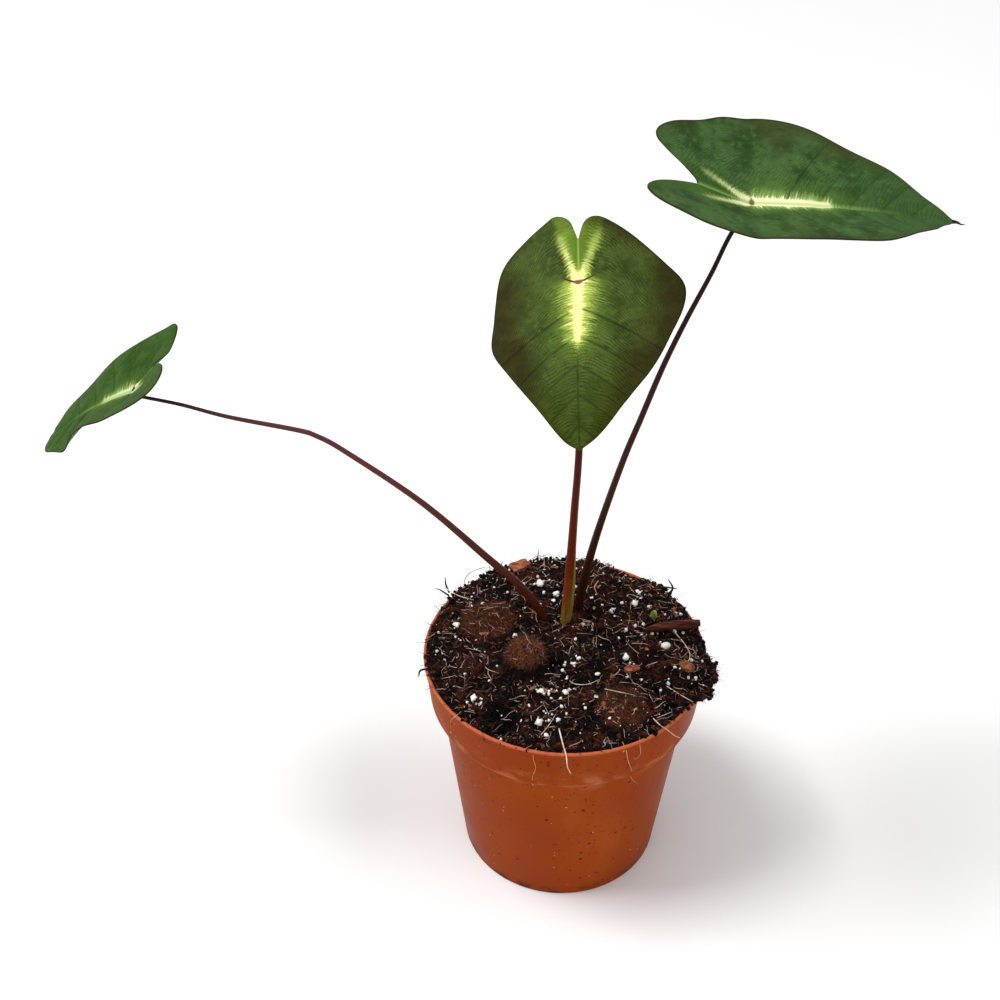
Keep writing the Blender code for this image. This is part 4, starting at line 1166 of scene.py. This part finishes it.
def stripe_fields(look, s, t):
    """Millimetres inside the pale stripe, millimetres inside the two lobe stripes, and the panel
    between those two as a share."""
    out = abs(t)
    run = max(s, 0.0) / look["stripe_end"]
    midrib = look["stripe_half"] * (1.0 - 0.35 * run ** 3) - out
    midrib -= 0.8 * max(0.0, s - look["stripe_end"]) + 1.5 * max(0.0, -s)
    lean = math.radians(look["lobe_angle"])
    along = -s * math.cos(lean) + out * math.sin(lean)
    across = out * math.cos(lean) + s * math.sin(lean)
    lobe = look["lobe_half"] + 0.9 - abs(across) - 0.6 * max(0.0, along - look["lobe_end"])
    lobe += 1.4 * max(0.0, 1.0 - along / 8.0)
    lobe -= 1.4 * max(0.0, -along)
    inner = smoothstep(-across / 2.0 + 0.3) * smoothstep(-s / 3.0)
    return midrib, lobe, inner


def blade_finish(side, look, below=False):
    made = Finish(("blade_under_" if below else "blade_") + side, 0.5, look["sheen"])
    vein, step, out, margin, stripe, lobe, inner, away, along, mark = map(made.field, BLADE_FIELDS)
    out_size = made.size(out)
    clouds = made.grain(34.0, 4.0)
    blotches = made.grain(110.0, 5.0)
    mottle = made.grain(420.0, 4.0)
    # feathers stand square to each stripe: they vary along it and hardly across it
    feather_run = made.minus(made.times(along, 1.9), made.times(out_size, 0.45))
    spikes = made.grain(1.0, 4.0, made.vector(feather_run, made.times(out, 0.13)), 0.15)
    uneven = made.between(made.grain(170.0, 3.0), 0.34, 0.66, 0.3, 1.3)
    spikes = made.times(made.times(made.minus(spikes, 0.5), 2.8), uneven)
    lobe_spikes = made.grain(1.0, 4.0, made.vector(made.times(away, 1.5),
                                                   made.times(lobe, 0.25), 7.0), 0.15)
    lobe_spikes = made.times(made.minus(lobe_spikes, 0.5), 2.8)
    # fine veins arch forward from the midrib, broken and wavy, with a few that cross them
    wander = made.times(made.minus(made.grain(130.0, 5.0), 0.5), 4.6)
    arch = made.times(made.times(out, out), 0.025)
    slant = made.minus(made.times(along, 0.72), arch)
    fine_lines = made.between(made.off_whole(made.plus(slant, wander)), 0.04, 0.30, 1.0, 0.0)
    cross = made.minus(made.times(vein, 5.0), made.times(out_size, 0.75))
    cross_lines = made.between(made.off_whole(made.plus(cross, wander)), 0.03, 0.22, 0.55, 0.0)
    lobe_run = made.plus(made.times(along, -0.75), made.times(out_size, 0.55))
    lobe_lines = made.between(made.off_whole(made.plus(lobe_run, wander)), 0.04, 0.28, 1.0, 0.0)
    fine_lines = made.most(fine_lines, cross_lines)
    fine_lines = made.most(fine_lines, made.times(lobe_lines, inner))
    fine_lines = made.times(fine_lines, made.between(made.grain(220.0, 3.0), 0.38, 0.60, 0.3, 1.0))
    off_vein = made.times(made.off_whole(vein), step)
    ribs = made.between(off_vein, 0.10, made.between(margin, 0.1, 1.0, 0.95, 0.45), 1.0, 0.0)
    midrib_line = made.between(out_size, 0.15, 0.5, 1.0, 0.0)
    # ground colour: green in deeper and lighter blotches, browner towards the margin and fresher at the
    # tip
    colour = made.blend(made.between(blotches, 0.36, 0.64), look["deep"], look["light"])
    colour = made.blend(0.45, colour, look["green"])
    colour = made.blend(made.between(mottle, 0.50, 0.72, 0.0, 0.6), colour, look["light"])
    colour = made.blend(made.between(mottle, 0.28, 0.46, 0.5, 0.0), colour, look["deep"])
    brownness = made.plus(margin, made.times(made.minus(clouds, 0.5), 1.5))
    brownness = made.plus(brownness, made.between(out, -20.0, 24.0, -0.08, 0.07))
    brownness = made.plus(brownness, made.between(along, -20.0, 4.0, -0.24, 0.0))
    brown_start = look["brown_start"]
    colour = made.blend(made.between(brownness, brown_start - 0.25, brown_start + 0.3, 0.0, 0.85),
                        colour, look["brown"])
    colour = made.blend(made.between(along, 24.0, 60.0, 0.0, 0.65), colour, look["tip"])
    colour = made.blend(made.between(stripe, -12.0, -0.5, 0.0, 0.75), colour, look["glow"])
    # pale stripe with its spikes, a faint tail towards the tip, and painted light on the panel in the
    # lobes, brightened to lime where light falls on the raised inner lobes
    lit_lobe_share = made.times(made.between(away, 8.0, 27.0, 0.9, 0.3),
                            made.between(out, -1.0, 5.0, 1.0, 0.62))
    colour = made.blend(made.times(inner, lit_lobe_share), colour, look["lit_lobe_panel"])
    spike_size = made.between(along, 2.0, look["stripe_end"] + 2.0, look["spikes"], 0.62 * look["spikes"])
    reach = made.plus(stripe, made.times(spikes, spike_size))
    lobe_reach = made.plus(lobe, made.times(lobe_spikes, 0.35 * look["spikes"]))
    pale = made.most(made.between(reach, made.times(spike_size, -1.15), 0.0),
                     made.times(made.between(lobe_reach, -1.6, 0.6),
                                made.between(away, 3.0, look["lobe_end"] + 3.0, 1.0, 0.35)))
    core = made.most(made.between(reach, made.times(spike_size, -0.25), 1.2),
                     made.between(stripe, -0.5, 0.7))
    lobe_share = made.between(lobe_reach, -0.3, 1.0)
    lobe_fade = made.between(away, 2.0, look["lobe_end"] + 1.0, look["lobe_strength"], 0.15)
    bright = made.most(core, made.times(lobe_share, lobe_fade))
    weaker_side = made.between(out, 1.0, 3.0, 1.0, look["lobe_second"])
    weaker_side = made.most(weaker_side, made.between(along, -4.0, -1.0))
    bright = made.times(bright, weaker_side)
    colour = made.blend(made.times(pale, 0.95), colour, look["halo"])
    colour = made.blend(bright, colour, look["core"])
    tail = made.times(made.between(out_size, 0.3, 1.5, look["tail"], 0.0),
                      made.between(along, look["stripe_end"] - 2.0, look["stripe_end"] + 30.0, 1.0, 0.0))
    colour = made.blend(tail, colour, look["halo"])
    # dark veins over it all, strongest on the side veins and by the joint
    dark = made.blend(1.0, colour, (0.30, 0.34, 0.30, 1.0), "MULTIPLY")
    outside = made.minus(1.0, made.times(bright, 0.93))
    fine_amount = made.times(made.times(fine_lines, look["veins"]), outside)
    rib_amount = made.times(ribs, made.between(away, 3.0, 40.0, look["ribs"], 0.75 * look["ribs"]))
    rib_amount = made.times(rib_amount, outside)
    near_joint = made.size(made.plus(vein, 0.5))
    rib_amount = made.times(rib_amount, made.between(near_joint, 0.7, 1.2, 0.2, 1.0))
    past_stripe = made.between(along, look["stripe_end"] + 1.0, look["stripe_end"] + 8.0,
                               0.0, 0.75 - look["tail"])
    seam = made.times(midrib_line, past_stripe)
    total = made.most(fine_amount, made.most(rib_amount, seam))
    colour = made.blend(total, colour, dark)
    # the pale vein into the notch, the two dark arms from the joint, its mauve mark and the purple edge
    notch_line = made.times(midrib_line, made.between(along, -3.0, -1.0, 0.35, 0.0))
    colour = made.blend(notch_line, colour, look["halo"])
    bow = made.plus(along, made.times(made.times(out, out), 0.085))
    arm_lines = made.between(made.size(made.plus(bow, 0.3)), 0.25, 0.60, 1.0, 0.0)
    arms = made.times(arm_lines, made.between(out_size, 4.2, 6.6, look["arms"], 0.0))
    colour = made.blend(arms, colour, paint(64, 36, 32))
    ragged_mark = made.plus(mark, made.times(spikes, 0.25))
    colour = made.blend(made.between(ragged_mark, 0.7, 1.3, 0.95, 0.0), colour, look["mark"])
    colour = made.blend(made.between(margin, 0.975, 0.993, 0.0, 0.8), colour, paint(44, 34, 26))
    relief = made.plus(made.times(total, -0.8), made.times(blotches, 0.7))
    relief = made.plus(relief, made.times(mottle, 0.4))
    if below:
        colour = made.blend(0.5, colour, paint(112, 128, 92))
        rosy = made.most(made.times(ribs, 0.7), midrib_line)
        colour = made.blend(made.times(rosy, 0.6), colour, paint(112, 56, 56))
    return made.done(colour, relief, 0.0005, 0.5, made.between(blotches, 0.3, 0.7, 0.42, 0.58))


for side, leaf in LEAVES.items():
    look = LEAF_LOOKS[side]
    leaf["axes"] = leaf_axes(leaf)
    halves = [route_points([(s, t, 0.0) for s, t in outline], BLADE_ROWS + 1)
              for outline in leaf["halves"]]
    tip, sinus = halves[0][0].x, halves[0][-1].x
    bm = bmesh.new()
    layers = [bm.verts.layers.float.new(name) for name in BLADE_FIELDS]
    bmesh.ops.create_grid(bm, x_segments=BLADE_ROWS, y_segments=BLADE_COLUMNS, size=1.0)
    rib_depths = []
    for vert in bm.verts:
        share = (vert.co.x + 1.0) / 2.0
        half = halves[0] if vert.co.y > 0 else halves[1]
        rim_point = half[min(BLADE_ROWS, round(share * BLADE_ROWS))]
        margin = abs(vert.co.y)
        s = tip + (sinus - tip) * share
        s, t = s + (rim_point.x - s) * margin, rim_point.y * vert.co.y
        vein, step = side_vein_place(s, t)
        stripe, lobe, inner = stripe_fields(look, s, t)
        away, mark = math.hypot(s, t), math.hypot(0.55 * t, s + 0.4)
        values = (vein, step, t, margin, stripe, lobe, inner, away, s, mark)
        for layer, value in zip(layers, values):
            vert[layer] = value
        off_vein = abs(vein - round(vein)) * step
        rib = math.exp(-(t / 1.0) ** 2) * smoothstep((tip - s) / 45.0)
        rib = max(rib, 0.35 * math.exp(-(off_vein / 0.6) ** 2) * (1.0 - margin))
        rib_depths.append(rib)
        vert.co = blade_point(leaf, s, t, blade_relief(s, t, margin, tip))
    bm.normal_update()
    facing = sum((face.normal * face.calc_area() for face in bm.faces), Vector())
    if facing.dot(leaf["axes"][2]) < 0:
        bmesh.ops.reverse_faces(bm, faces=bm.faces)
    blade = finish_piece("blade_" + side, bm, [blade_finish(side, look), blade_finish(side, look, True)],
                         ["leaf_blade_" + side], 180.0)
    group = blade.vertex_groups.new(name="ribs")
    for index, depth in enumerate(rib_depths):
        group.add([index], depth, "REPLACE")
    weld = blade.modifiers.new("weld_ends", "WELD")
    weld.merge_threshold = 0.00002
    body = blade.modifiers.new("thickness", "SOLIDIFY")
    body.thickness = MIDRIB_DEPTH * MM
    body.offset = -1.0
    body.vertex_group = "ribs"
    body.thickness_vertex_group = LAMINA / MIDRIB_DEPTH
    body.material_offset = 1

# ---------------------------------------------------------------- drip tip
# The right blade ends in a dried drip tip, thin, black and curled downwards. It grew with the blade and
# withered first.

DRIP_PLACE = 69.0       # along the midrib, just inside the blade's end
drip_leaf = LEAVES["right"]
drip_start = blade_point(drip_leaf, DRIP_PLACE, 0.0)
drip_along, _, drip_up = drip_leaf["axes"]
drip_line = route_points([drip_start - drip_up * 0.3, drip_start + drip_along * 1.6 - drip_up * 0.5,
                          drip_start + drip_along * 3.4 - drip_up * 1.5,
                          drip_start + drip_along * 4.6 - drip_up * 1.3], 14)
drip_finish = Finish("dried_drip_tip", 0.7, 0.2)
drip_colour = drip_finish.ramp(drip_finish.grain(900.0), [(0.3, paint(18, 14, 12)),
                                                          (0.7, paint(52, 40, 32))])
finish_piece("drip_tip_right", strand(drip_line, [0.75, 0.5, 0.3, 0.12], 10),
             [drip_finish.done(drip_colour)])
